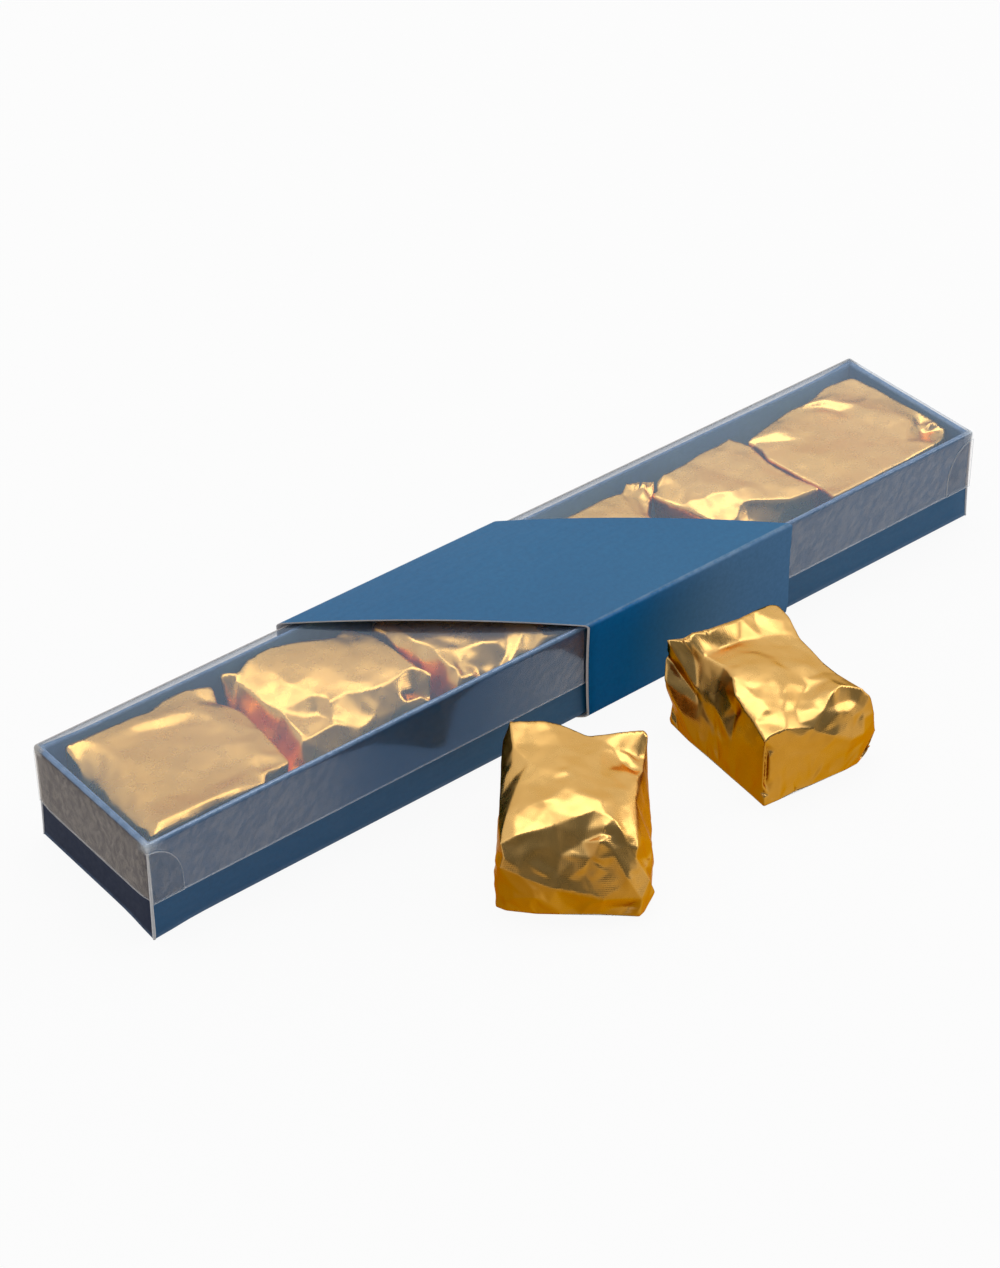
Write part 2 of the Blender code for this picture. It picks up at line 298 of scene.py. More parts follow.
def film_finish():
    """Clear film: it mirrors a little, in slanting streaks, with painted reflection in its tint and
    haze;
    it whitens where folded hard, with a painted highlight, and its far fold has a painted reflection.
    """
    m = Finish("clear_film")
    place = m.place()
    slanted = m.scaled(m.scaled(place, (1.0, 1.0, 1.0), STREAK_TURN), STREAK_SHAPE)
    streak = m.noise(slanted, scale=1.0, detail=3.0, rough=0.6, distortion=0.5)
    stripe = m.spread(streak, STREAK_RANGE)
    facing = m.facing()
    facing_end = m.maths("ABSOLUTE", facing[0])
    facing_up = m.maths("ABSOLUTE", facing[2])
    at_end = m.spread(facing_end, FACING_RANGE)
    off = m.maths("ABSOLUTE", m.maths("SUBTRACT", m.split(place)[0], mm(CLEAR_MIDDLE)))
    clearer = m.spread(off, (mm(CLEAR_HALF - CLEAR_SOFT), mm(CLEAR_HALF + CLEAR_SOFT)))

    # Painted reflection: the mirror's tint changes along the skirts, at the ends and on top
    painted_reflection = m.blend(clearer, CLEAR_PAINTED_REFLECTION, m.blend(stripe, *SKIRT_PAINTED_REFLECTIONS))
    painted_reflection = m.blend(at_end, painted_reflection, m.blend(stripe, *END_PAINTED_REFLECTIONS))
    painted_reflection = m.blend(m.spread(facing_up, FACING_RANGE), painted_reflection, TOP_PAINTED_REFLECTION)
    normal = m.bump(m.noise(place, scale=45.0), strength=0.25, distance=0.5)
    mirror = m.skin(painted_reflection, 0.11, Normal=normal, Metallic=1.0)

    # A matt veil over the film, warm on the sides and bluish on top: painted reflection
    side_painted_veil = m.maths("MULTIPLY", m.spread(streak, STREAK_RANGE, (0.003, 0.036)), clearer)
    top_painted_veil = m.spread(m.noise(place, scale=30.0), MIDDLE, (0.022, 0.036))
    loose = m.maths("SUBTRACT", 1.0, m.marked("glued"))
    painted_veil_share = m.maths("MULTIPLY", m.spread(facing_up, FACING_RANGE, (side_painted_veil, top_painted_veil)), loose)
    front = m.maths("SUBTRACT", 1.0, m.add("ShaderNodeNewGeometry").outputs["Backfacing"])
    faces = m.maths("MULTIPLY", m.maths("MULTIPLY", front, loose), FILM_FACES)
    fresnel = m.add("ShaderNodeFresnel", IOR=FILM_INDEX)
    shine = m.maths("MULTIPLY", fresnel, faces, clamp=True)

    body = m.mix(shine, m.add("ShaderNodeBsdfTransparent", Color=FILM_TINT), mirror)
    painted_veil = m.skin(m.blend(facing_up, SIDE_PAINTED_REFLECTION_VEIL, TOP_PAINTED_REFLECTION_VEIL), 0.7, Specular_IOR_Level=0.0)
    body = m.mix(painted_veil_share, body, painted_veil)
    # Where the film is folded hard it whitens, and a painted highlight lies there too
    body = m.mix(m.marked("whitening_and_highlight"), body, m.skin(FOLD_WHITE_AND_HIGHLIGHT, 0.35))
    # The far fold's grey band is a painted reflection
    return m.done(m.mix(m.marked("scuff"), body, m.skin(PAINTED_REFLECTION_GREY, 0.5)))


# The foil's linen emboss repeats every 0.6 mm: a wave node at scale 1 repeats 20 / tau times a unit
WEAVE_PITCH = 0.6
WEAVE_SCALE = math.tau / 20 / WEAVE_PITCH
WEAVE_WAVER = 0.4
GLANCING_GOLD = rgb(0.80, 0.46, 0.16)


def foil_finish(name, painted_light_tops, painted_shade_sides, painted_dim_side_gold, along=None):
    """Gold foil with a fine linen emboss, with painted light and shade by the way each face turns: pale
    on top, a deeper gold on its upright faces, and deepest on those that face the dim end of the room.
    With along, painted light makes the tops grow paler along x."""
    m = Finish(name)
    place = m.place()
    sheet = m.marked("sheet", "Vector")
    waves = [
        m.add(
            "ShaderNodeTexWave", {"bands_direction": direction}, Vector=sheet, Scale=WEAVE_SCALE,
            Distortion=WEAVE_WAVER, Detail_Scale=WEAVE_WAVER,
        ).outputs[1]
        for direction in ("X", "Y")
    ]
    linen = m.maths("MULTIPLY", *waves)
    facing_x, _, facing_up = m.facing()
    pale = patch = m.noise(place, scale=95.0)
    if along is not None:
        shade = m.spread(m.split(place)[0], (mm(along[0]), mm(along[1])), (-0.25, 0.75), smooth=False)
        pale = m.maths("ADD", shade, m.maths("MULTIPLY", patch, 0.5), clamp=True)
    top = m.blend(pale, *painted_light_tops)
    # Painted shade on upright faces, deepest towards the room's dim side; painted light on tops
    painted_dim_side_share = m.spread(m.maths("MULTIPLY", facing_x, -1.0), (0.15, 0.95))
    side = m.blend(painted_dim_side_share, m.blend(patch, *painted_shade_sides), painted_dim_side_gold)
    colour = m.blend(m.spread(facing_up, (0.10, 0.90)), side, top)
    worn = m.noise(place, scale=210.0, detail=3.0, rough=0.6)
    rough = m.spread(worn, MIDDLE, (0.22, 0.36))
    dents = m.noise(place, scale=170.0, detail=1.0)
    normal = m.bump(dents, strength=0.22, distance=0.55)
    pressed = m.spread(facing_up, (0.72, 0.94), (0.15, 0.0))
    normal = m.bump(linen, strength=pressed, distance=0.08, normal=normal)
    return m.done(
        m.skin(colour, rough, Normal=normal, Metallic=1.0, Specular_Tint=GLANCING_GOLD)
    )


CANDY_BROWNS = rgb(0.12, 0.042, 0.014), rgb(0.33, 0.15, 0.055)


def candy_finish():
    """A chestnut glazed with sugar."""
    m = Finish("candied_chestnut")
    place = m.place()
    patch = m.noise(place, scale=120.0, detail=3.0)
    colour = m.blend(patch, *CANDY_BROWNS)
    rough = m.spread(m.noise(place, scale=260.0), (0.35, 0.7), (0.18, 0.5))
    normal = m.bump(m.noise(place, scale=170.0, detail=4.0), strength=0.4, distance=0.5)
    return m.done(m.skin(colour, rough, Normal=normal, Coat_Weight=0.6))


# Meshes
def mesh_object(name, points, faces, finishes, face_finish=None, smooth=True):
    """An object from points in millimetres. face_finish gives each face its material's number."""
    data = bpy.data.meshes.new(name)
    data.from_pydata([tuple(mm(c) for c in point) for point in points], [], faces)
    for finish in finishes:
        data.materials.append(finish)
    if face_finish is not None:
        data.polygons.foreach_set("material_index", face_finish)
    data.update()
    mesh = bmesh.new()
    mesh.from_mesh(data)
    bmesh.ops.recalc_face_normals(mesh, faces=mesh.faces)
    mesh.to_mesh(data)
    mesh.free()
    if smooth:
        data.shade_smooth()
    return link_object(name, data)


def mark(obj, name, values):
    """Keeps a number from 0 to 1 for each point, which a material reads by name."""
    layer = obj.data.attributes.new(name, "FLOAT", "POINT")
    layer.data.foreach_set("value", np.asarray(values, dtype=np.float32))


def sharpen(obj, degrees):
    """Edges that turn by more than this stay crisp under smooth shading."""
    mesh = bmesh.new()
    mesh.from_mesh(obj.data)
    for edge in mesh.edges:
        if len(edge.link_faces) == 2:
            edge.smooth = edge.calc_face_angle() < math.radians(degrees)
    mesh.to_mesh(obj.data)
    mesh.free()


def tube_faces(rings, count, start=0):
    """Quads between rings of count points, the first of which is point start."""
    faces = []
    for r in range(rings - 1):
        low, high = start + r * count, start + (r + 1) * count
        for i in range(count):
            j = (i + 1) % count
            faces.append((low + i, low + j, high + j, high + i))
    return faces


def cap(ring, count, start=0):
    """A face over one whole ring."""
    return tuple(range(start + ring * count, start + (ring + 1) * count))


def rounded_outline(length, width, radius, arc, along, across):
    """A rectangle with rounded corners, counter-clockwise, as (x, y, outward x, outward y)."""
    points = []
    corners = ((1, 1), (-1, 1), (-1, -1), (1, -1))
    for turn, (sx, sy) in enumerate(corners):
        centre = (sx * (length / 2 - radius), sy * (width / 2 - radius))
        for i in range(arc + 1):
            angle = math.pi / 2 * (turn + i / arc)
            c, s = math.cos(angle), math.sin(angle)
            points.append((centre[0] + radius * c, centre[1] + radius * s, c, s))
        nx, ny = corners[(turn + 1) % 4]
        x, y, ox, oy = points[-1]
        end_x = nx * (length / 2 - radius) + radius * ox
        end_y = ny * (width / 2 - radius) + radius * oy
        steps = along if turn % 2 == 0 else across
        for i in range(1, steps):
            share = i / steps
            points.append((x + (end_x - x) * share, y + (end_y - y) * share, ox, oy))
    return points


def drawn_in(spot, inset, bend):
    """A point of an outline moved inwards: up to bend round its corner, and then straight."""
    x, y, ox, oy = spot
    reach = min(inset, bend)
    rest = inset - reach
    px = x - ox * reach - math.copysign(rest, x) * (abs(ox) > TINY)
    py = y - oy * reach - math.copysign(rest, y) * (abs(oy) > TINY)
    return px, py


def arc_points(centre, radius, start, end, steps):
    angles = [math.radians(start + (end - start) * i / steps) for i in range(steps + 1)]
    return [(centre[0] + radius * math.cos(a), centre[1] + radius * math.sin(a)) for a in angles]


# Tray
TRAY_LOW, TRAY_HIGH = node_box("tray")
TRAY_LENGTH = TRAY_HIGH[0] - TRAY_LOW[0]
TRAY_WIDTH = TRAY_HIGH[1] - TRAY_LOW[1]
TRAY_TOP = TRAY_HIGH[2]
TRAY_BOTTOM = TRAY_LOW[2]
WALL = 1.6
TRAY_FLOOR = 0.45
RIM_RADIUS = 0.72
FOLD_RADIUS = 0.35
CORNER_RADIUS = 0.55
CORNER_BEND = CORNER_RADIUS - 0.02
UNDERSIDE_INSET = 2.0
# How the walls bow, the rim wavers, the feet and ends swell and the far wall leans in
WALL_BOW = 0.25
INNER_BOW_SHARE = 0.6
RIM_WAVER = 0.16
FLARE = 0.35
END_BULGE = 0.22
GIVE_REACH = 3.0
FAR_LEAN = 0.75
FAR_DROP = 0.30
FAR_LEAN_REACH = 16.0
FAR_LEAN_END = -0.30
CORNER_PULL = 0.45
CORNER_DROP = 0.40
CORNER_PULL_REACH = 7.0
# How worn the rolled rim is, with a painted highlight along its top, step by step from outside to
# inside
RIM_WEAR_AND_HIGHLIGHT_SHARES = (0.0, 0.3, 0.8, 1.0, 0.9, 0.8, 0.8, 0.9, 1.0, 0.8, 0.3, 0.0)
FOLD_WEAR_SHARE = 0.35
# The wall's profile: how many of its steps are outside, and the first one inside
OUTER_STEPS = 14
INNER_STEP = 22
# The far wall's inside carries painted light, held back by painted shade at the left, which pales to
# the right over this stretch of x
SHADE_START = -90.0
SHADE_LENGTH = 110.0
SHADE_SHARE = 0.45
# The card's bare core at the corners: how high each ring of the bead is and how wide
CORE_STRIP = 0.50
CORE_HEIGHTS = (0.02, 0.5, 3.0, 9.0, 17.0)
CORE_TOP_GAP = 0.35
CORE_SHARES = (0.75, 1.05, 1.0, 0.9, 0.85, 0.7)
CORE_INSET_SHARE = 0.62
CORE_RADIUS_SHARE = 0.72
CORE_SIDES = 8


def tray_give(x, y, z):
    """How the tray strays from true: flared feet, a far wall that leans in, one corner pulled out."""
    lift = max(0.0, (z - TRAY_BOTTOM) / (TRAY_TOP - TRAY_BOTTOM))
    foot = (1 - lift) ** 2 * FLARE
    edge_x = max(0.0, 1 - (TRAY_LENGTH / 2 - abs(x)) / GIVE_REACH)
    edge_y = max(0.0, 1 - (TRAY_WIDTH / 2 - abs(y)) / GIVE_REACH)
    dx = math.copysign((foot + END_BULGE) * edge_x, x)
    dy = math.copysign(foot * edge_y, y)
    dz = 0.0
    if y > 0:
        along = min(1.0, (TRAY_LENGTH / 2 - abs(x)) / FAR_LEAN_REACH)
        lean = FAR_LEAN_END + (1 - FAR_LEAN_END) * math.sin(along * math.pi / 2)
        dy -= FAR_LEAN * lean * lift**2 * edge_y
        dz -= FAR_DROP * lean * lift**3 * edge_y
    away = math.hypot(x + TRAY_LENGTH / 2, y + TRAY_WIDTH / 2)
    pull = math.exp(-((away / CORNER_PULL_REACH) ** 2)) * (1 - lift)
    dx -= CORNER_PULL * pull
    dy -= CORNER_PULL * pull
    dz -= CORNER_DROP * pull
    sag = RIM_WAVER * noise.noise(Vector((x * 0.03, y * 0.08, z * 0.02)))
    return x + dx, y + dy + sag * lift * 0.5, z + dz + min(sag, 0) * lift


def tray_profile():
    """The wall from under the floor's edge, over the rim and down to the floor, as (inset, z, wear)."""
    wall_top = TRAY_TOP - RIM_RADIUS
    profile = [(UNDERSIDE_INSET, TRAY_BOTTOM, 0.0)]
    fold = arc_points((FOLD_RADIUS, TRAY_BOTTOM + FOLD_RADIUS), FOLD_RADIUS, 270, 180, 4)
    profile += [(inset, z, FOLD_WEAR_SHARE) for inset, z in fold]
    height = wall_top - TRAY_BOTTOM
    for share in (0.06, 0.2, 0.4, 0.6, 0.8, 0.95):
        inset = WALL_BOW * math.sin(math.pi * share)
        profile.append((inset, TRAY_BOTTOM + height * share, 0.0))
    rim = arc_points((RIM_RADIUS, wall_top), RIM_RADIUS, 180, 90, 5)
    rim += arc_points((WALL - RIM_RADIUS, wall_top), RIM_RADIUS, 90, 0, 5)
    profile += [(inset, z, wear_and_highlight) for (inset, z), wear_and_highlight in zip(rim, RIM_WEAR_AND_HIGHLIGHT_SHARES)]
    inner_low = TRAY_BOTTOM + TRAY_FLOOR
    for share in (0.95, 0.75, 0.5, 0.25):
        inset = WALL + WALL_BOW * INNER_BOW_SHARE * math.sin(math.pi * share)
        profile.append((inset, inner_low + (wall_top - inner_low) * share, 0.0))
    low = ((WALL, 0.5), (WALL + 0.2, 0.1), (WALL + 1.5, 0.0))
    return profile + [(inset, inner_low + rise, 0.0) for inset, rise in low]


def make_tray(card, painted_shade_end_card, core):
    """The tray: outer wall, rolled rim, inner wall and floor, as one closed skin."""
    profile = tray_profile()
    outline = rounded_outline(TRAY_LENGTH, TRAY_WIDTH, CORNER_RADIUS, 4, 60, 12)
    points, worn, inside = [], [], []
    for step, (inset, z, wear_and_highlight) in enumerate(profile):
        for spot in outline:
            x, _, _, oy = spot
            # Painted light on the far wall's inside, fading to painted shade towards the left
            light = min(1.0, max(0.0, (x - SHADE_START) / SHADE_LENGTH))
            painted_light_share = SHADE_SHARE + (1 - SHADE_SHARE) * light
            inside.append(painted_light_share * max(0.0, oy) ** 2 * (step >= INNER_STEP))
            points.append(tray_give(*drawn_in(spot, inset, CORNER_BEND), z))
            worn.append(wear_and_highlight)
    count = len(outline)
    faces = tube_faces(len(profile), count)
    faces += [cap(0, count)[::-1], cap(len(profile) - 1, count)]
    kinds = [0] * len(faces)
    # The outer faces of the end walls take a darker, duller copy of the card: painted shade
    for step in range(OUTER_STEPS):
        for i, (_, _, ox, _) in enumerate(outline):
            kinds[step * count + i] = int(min(abs(ox), abs(outline[(i + 1) % count][2])) > 0.7)
    tray = mesh_object("tray_card", points, faces, [card, painted_shade_end_card], kinds)
    # worn holds wear, and on the rim's top a painted highlight
    mark(tray, "worn", worn)
    mark(tray, "inside", inside)
    sharpen(tray, 50)
    return tray, make_core_strips(core)


def make_core_strips(core):
    """The card's pale core, bare in a thin bead up each corner of the tray."""
    points, faces = [], []
    levels = [TRAY_BOTTOM + z for z in CORE_HEIGHTS] + [TRAY_TOP - CORE_TOP_GAP]
    widths = [CORE_STRIP * share for share in CORE_SHARES]
    for sx in (-1, 1):
        for sy in (-1, 1):
            start = len(points)
            for z, wide in zip(levels, widths):
                inset = wide * CORE_INSET_SHARE
                middle = (sx * (TRAY_LENGTH / 2 - inset), sy * (TRAY_WIDTH / 2 - inset))
                for side in range(CORE_SIDES):
                    angle = math.tau * side / CORE_SIDES
                    x = middle[0] + wide * CORE_RADIUS_SHARE * math.cos(angle)
                    y = middle[1] + wide * CORE_RADIUS_SHARE * math.sin(angle)
                    points.append(tray_give(x, y, z))
            faces += tube_faces(len(levels), CORE_SIDES, start)
            faces += [cap(0, CORE_SIDES, start), cap(len(levels) - 1, CORE_SIDES, start)]
    return mesh_object("tray_core_strips", points, faces, [core])


# Lid
LID_LOW, LID_HIGH = node_box("lid")
FILM = 0.25
LID_LENGTH = LID_HIGH[0] - LID_LOW[0]
LID_WIDTH = LID_HIGH[1] - LID_LOW[1] - 2 * FILM
LID_TOP = LID_HIGH[2]
LID_BOTTOM = LID_LOW[2]
LID_FOLD = 0.95
LID_BEND = LID_FOLD - 0.05
SKIRT_HEIGHTS = (0.0, 0.22, 0.45, 4.0, 10.0, 13.5)
CUT_EDGE = 0.3
CUT_EDGE_WHITE = 0.25
# The white at the corners and the cut edge: stress whitening with a painted highlight
CORNER_WHITE_AND_HIGHLIGHT = 0.7
CORNER_WHITE_REACH = 1.1
CORNER_WHITE_DEPTH = 2.2
# The end skirts' lower edges curve up towards their corners
END_RISE = 1.3
END_RISE_REACH = 0.6
END_RISE_LENGTH = 6.0
# A painted reflection, a warm grey band, lies along the upper part of the far fold
FAR_FOLD_PAINTED_REFLECTION = 0.62
PAINTED_REFLECTION_WIDTH = 1.2
SKIRT_FADE = 3.0
EAR_LENGTH = 8.6
EAR_HEIGHT = 14.6
EAR_STRAIGHT = 4.1
EAR_INSET = 0.3
EAR_RISE = 0.1
EAR_STEPS = 18
EAR_MIDDLE_SHARE = 0.45
# Each ring of an ear: how proud of the skirt, how far drawn in and how white, with a painted highlight
# on its outline
EAR_RINGS = ((0.03, 0.0, 0.0), (0.04, 0.0, 0.4), (FILM, 0.06, 0.4), (FILM, 0.30, 0.0))


def lid_ring(outline, inset, z, thick):
    """One ring of the lid's outer or inner skin: its points, how white, with its painted highlight, and
    how much painted reflection lies on it.
    """
    drop = thick if inset >= LID_FOLD - TINY else 0.0
    inwards = inset + (thick - drop)
    ring, whitening_and_highlight, scuff = [], [], []
    for spot in outline:
        x, y = spot[:2]
        px, py = drawn_in(spot, inwards, LID_BEND)
        near_end = max(0.0, 1 - (LID_LENGTH / 2 - abs(x)) / END_RISE_REACH)
        to_corner = max(0.0, 1 - (LID_WIDTH / 2 - abs(y)) / END_RISE_LENGTH)
        low = max(0.0, 1 - (z - LID_BOTTOM) / SKIRT_FADE)
        rise = END_RISE * near_end * to_corner**2 * low
        ring.append((px, py, z - drop + rise))
        corner = math.hypot(LID_LENGTH / 2 - abs(px), LID_WIDTH / 2 - abs(py))
        folded = math.exp(-((corner / CORNER_WHITE_REACH) ** 2)) * (z > LID_TOP - CORNER_WHITE_DEPTH)
        edge = CUT_EDGE_WHITE if z < LID_BOTTOM + CUT_EDGE else 0.0
        whitening_and_highlight.append(max(folded * CORNER_WHITE_AND_HIGHLIGHT, edge))
        # The far fold's upper part gets a painted reflection, kept in scuff
        high = max(0.0, 1 - (LID_TOP - z) / SKIRT_FADE) * (inset < LID_FOLD * 0.8)
        scuff.append(FAR_FOLD_PAINTED_REFLECTION * high * (y > LID_WIDTH / 2 - PAINTED_REFLECTION_WIDTH))
    return ring, whitening_and_highlight, scuff


def make_lid(film):
    """The lid's film, as an outer and an inner skin joined round its lower edge, and its ears."""
    outline = rounded_outline(LID_LENGTH, LID_WIDTH, LID_FOLD, 5, 72, 14)
    profile = [(0.0, LID_BOTTOM + rise) for rise in SKIRT_HEIGHTS]
    profile += arc_points((LID_FOLD, LID_TOP - LID_FOLD), LID_FOLD, 180, 90, 6)
    profile.append((LID_FOLD + 0.9, LID_TOP))
    points, whitening_and_highlight, scuff = [], [], []
    for thick in (0.0, FILM):
        for inset, z in profile:
            for whole, part in zip((points, whitening_and_highlight, scuff), lid_ring(outline, inset, z, thick)):
                whole += part
    count, rows = len(outline), len(profile)
    inner = rows * count
    faces = tube_faces(rows, count)
    faces += [tuple(i + inner for i in face[::-1]) for face in faces]
    for i in range(count):
        j = (i + 1) % count
        faces.append((j, i, inner + i, inner + j))
    faces += [cap(rows - 1, count), cap(rows - 1, count, inner)[::-1]]
    lid = mesh_object("lid_film", points, faces, [film])
    mark(lid, "whitening_and_highlight", whitening_and_highlight)
    mark(lid, "scuff", scuff)
    sharpen(lid, 40)
    return lid, [make_ear(film, sx, sy) for sx in (-1, 1) for sy in (-1, 1)]


def make_ear(film, sx, sy):
    """The glued ear at one end of a long skirt: a rounded tab just proud of it."""
    outline = [(EAR_INSET, EAR_RISE), (EAR_LENGTH, EAR_RISE), (EAR_LENGTH, EAR_STRAIGHT)]
    for i in range(1, EAR_STEPS + 1):
        angle = math.pi / 2 * i / EAR_STEPS
        u = EAR_INSET + (EAR_LENGTH - EAR_INSET) * math.cos(angle)
        v = EAR_STRAIGHT + (EAR_HEIGHT - EAR_STRAIGHT) * math.sin(angle)
        outline.append((u, v))
    count = len(outline)
    middle = np.array([EAR_LENGTH * EAR_MIDDLE_SHARE, EAR_HEIGHT * EAR_MIDDLE_SHARE])
    points, whitening_and_highlight = [], []
    for proud, shrink, white in EAR_RINGS:
        for u, v in outline:
            way = middle - (u, v)
            moved = np.array([u, v]) + way / np.linalg.norm(way) * shrink
            x = sx * (LID_LENGTH / 2 - moved[0])
            points.append((x, sy * (LID_WIDTH / 2 + proud), LID_BOTTOM + moved[1]))
            whitening_and_highlight.append(white)
    faces = tube_faces(len(EAR_RINGS), count)
    faces += [cap(0, count), cap(len(EAR_RINGS) - 1, count)]
    label = ("left" if sx < 0 else "right") + ("_front" if sy < 0 else "_back")
    ear = mesh_object(f"lid_ear_{label}", points, faces, [film])
    mark(ear, "whitening_and_highlight", whitening_and_highlight)
    mark(ear, "glued", [0.5 if white else 1.0 for white in whitening_and_highlight])
    sharpen(ear, 30)
    return ear


# Sleeve
SLEEVE_LOW, SLEEVE_HIGH = node_box("sleeve")
SLEEVE_WIDTH = SLEEVE_HIGH[1] - SLEEVE_LOW[1]
SLEEVE_MIDDLE = (SLEEVE_LOW[0] + SLEEVE_HIGH[0]) / 2
SLEEVE_PANEL = 64.0
SLEEVE_SLANT = 55.5
SLEEVE_BOARD = 0.36
SLEEVE_FOLD = 1.05
SLEEVE_BOW = 1.3
SLEEVE_ROOF = SLEEVE_HIGH[2] - SLEEVE_BOW
SLEEVE_SIDE_BOW = 0.18
SLEEVE_STEPS = 26
ROOF_STEPS = 28
UNDER_STEPS = 8
FOLD_STEPS = 5
# The front's right edge turns in near the ground
SLEEVE_EASE = 3.2
SLEEVE_EASE_DEPTH = 1.5
SLEEVE_EASE_WIDTH = 2
# The front fold is worn, more so to the right
FOLD_WEAR_WIDTH = 0.9
FOLD_WEAR_DROP = 0.2
FOLD_WEAR_REACH = 0.45
FOLD_WEAR_SHARES = (0.15, 0.20)


def sleeve_section(inset):
    """The sleeve's section as (y, z), from the front's lower corner up and over."""
    radius = SLEEVE_FOLD - inset
    half = SLEEVE_WIDTH / 2 - inset
    roof = SLEEVE_ROOF - inset
    low = inset
    flat = half - radius
    wall = roof - low - 2 * radius
    section = arc_points((-flat, low + radius), radius, 270, 180, FOLD_STEPS)
    for share in (0.12, 0.25, 0.4, 0.6, 0.8):
        bow = SLEEVE_SIDE_BOW * math.sin(math.pi * share)
        section.append((-half + bow, low + radius + wall * share))
    section += arc_points((-flat, roof - radius), radius, 180, 90, FOLD_STEPS)
    for step in range(1, ROOF_STEPS):
        share = 2 * step / ROOF_STEPS - 1
        section.append((flat * share, roof + SLEEVE_BOW * (1 - share**2)))
    section += arc_points((flat, roof - radius), radius, 90, 0, FOLD_STEPS)
    for share in (0.8, 0.6, 0.4, 0.2):
        bow = SLEEVE_SIDE_BOW * math.sin(math.pi * share)
        section.append((half - bow, low + radius + wall * share))
    section += arc_points((flat, low + radius), radius, 0, -90, FOLD_STEPS)
    for step in range(1, UNDER_STEPS):
        section.append((flat * (1 - 2 * step / UNDER_STEPS), low))
    return section


def make_sleeve(card, painted_shade_side_card, core):
    """The sleeve: an outer and an inner skin whose ends slant with y, joined at both ends."""
    layers = [sleeve_section(0.0), sleeve_section(SLEEVE_BOARD)]
    count = len(layers[0])
    half = SLEEVE_PANEL / 2
    front = -SLEEVE_WIDTH / 2
    points, worn = [], []
    for layer, section in enumerate(layers):
        for step in range(SLEEVE_STEPS + 1):
            share = step / SLEEVE_STEPS
            for y, z in section:
                middle = SLEEVE_MIDDLE - SLEEVE_SLANT * y / SLEEVE_WIDTH
                ease = max(0.0, 1 - z / SLEEVE_EASE) ** 2 * SLEEVE_EASE_DEPTH
                start = middle - half
                end = middle + half - (ease if y < front + SLEEVE_EASE_WIDTH else 0)
                points.append((start + (end - start) * share, y, z))
                drop = (z - SLEEVE_ROOF + FOLD_WEAR_DROP) / FOLD_WEAR_REACH
                fold = math.exp(-(drop**2)) * (y < front + FOLD_WEAR_WIDTH)
                least, more = FOLD_WEAR_SHARES
                worn.append(fold * (least + more * share) * (layer == 0))
    inner = (SLEEVE_STEPS + 1) * count
    faces, kinds = [], []
    for layer, section in enumerate(layers):
        faces += tube_faces(SLEEVE_STEPS + 1, count, layer * inner)
        strip = []
        for i in range(count):
            height = (section[i][1] + section[(i + 1) % count][1]) / 2
            roof = height > SLEEVE_ROOF - SLEEVE_FOLD * 0.3
            # The upright sides take the duller copy of the card with painted shade
            strip.append(1 if layer else 0 if roof else 2)
        kinds += strip * SLEEVE_STEPS
    for ring in (0, SLEEVE_STEPS):
        for i in range(count):
            a, b = ring * count + i, ring * count + (i + 1) % count
            faces.append((a, b, inner + b, inner + a))
            kinds.append(1)
    sleeve = mesh_object("sleeve_card", points, faces, [card, core, painted_shade_side_card], kinds)
    mark(sleeve, "worn", worn)
    sharpen(sleeve, 50)
    return sleeve


# The parcels' tables
BOX_BASE = 1.45
# How far the foil's plan opens out below PLAN_TOP, per millimetre and per millimetre squared
PLAN_BOXED = (0.030, 0.0)
PLAN_LOOSE = (0.040, 0.0010)
# The room between the tray's walls
ROOM_LOW = np.array([-122.5, -20.35])
ROOM_HIGH = np.array([122.5, 20.0])


def words_of(text):
    """The words of each row of a table. Commas stand between the rows."""
    return [row.split() for row in text.split(",") if row.strip()]


def named_rows(text):
    """Numbers by name, from rows of a name and its numbers."""
    return {name: [float(number) for number in numbers] for name, *numbers in words_of(text)}


def run_of(word):
    """The names that a word stands for: a2-a5 is a run of numbers up or down, c-k of letters."""
    first, dash, last = word.partition("-")
    if not dash:
        return [first]
    stem = first.rstrip("0123456789")
    if stem == first:
        return [first[:-1] + chr(code) for code in range(ord(first[-1]), ord(last[-1]) + 1)]
    start, end = int(first[len(stem):]), int(last[len(stem):])
    way = 1 if end > start else -1
    return [f"{stem}{number}" for number in range(start, end + way, way)]


def fold_rows(text):
    """(strength, names along the fold), from rows of a strength and names or runs of names."""
    return [
        (float(strength), [name for word in words for name in run_of(word)])
        for strength, *words in words_of(text)
    ]


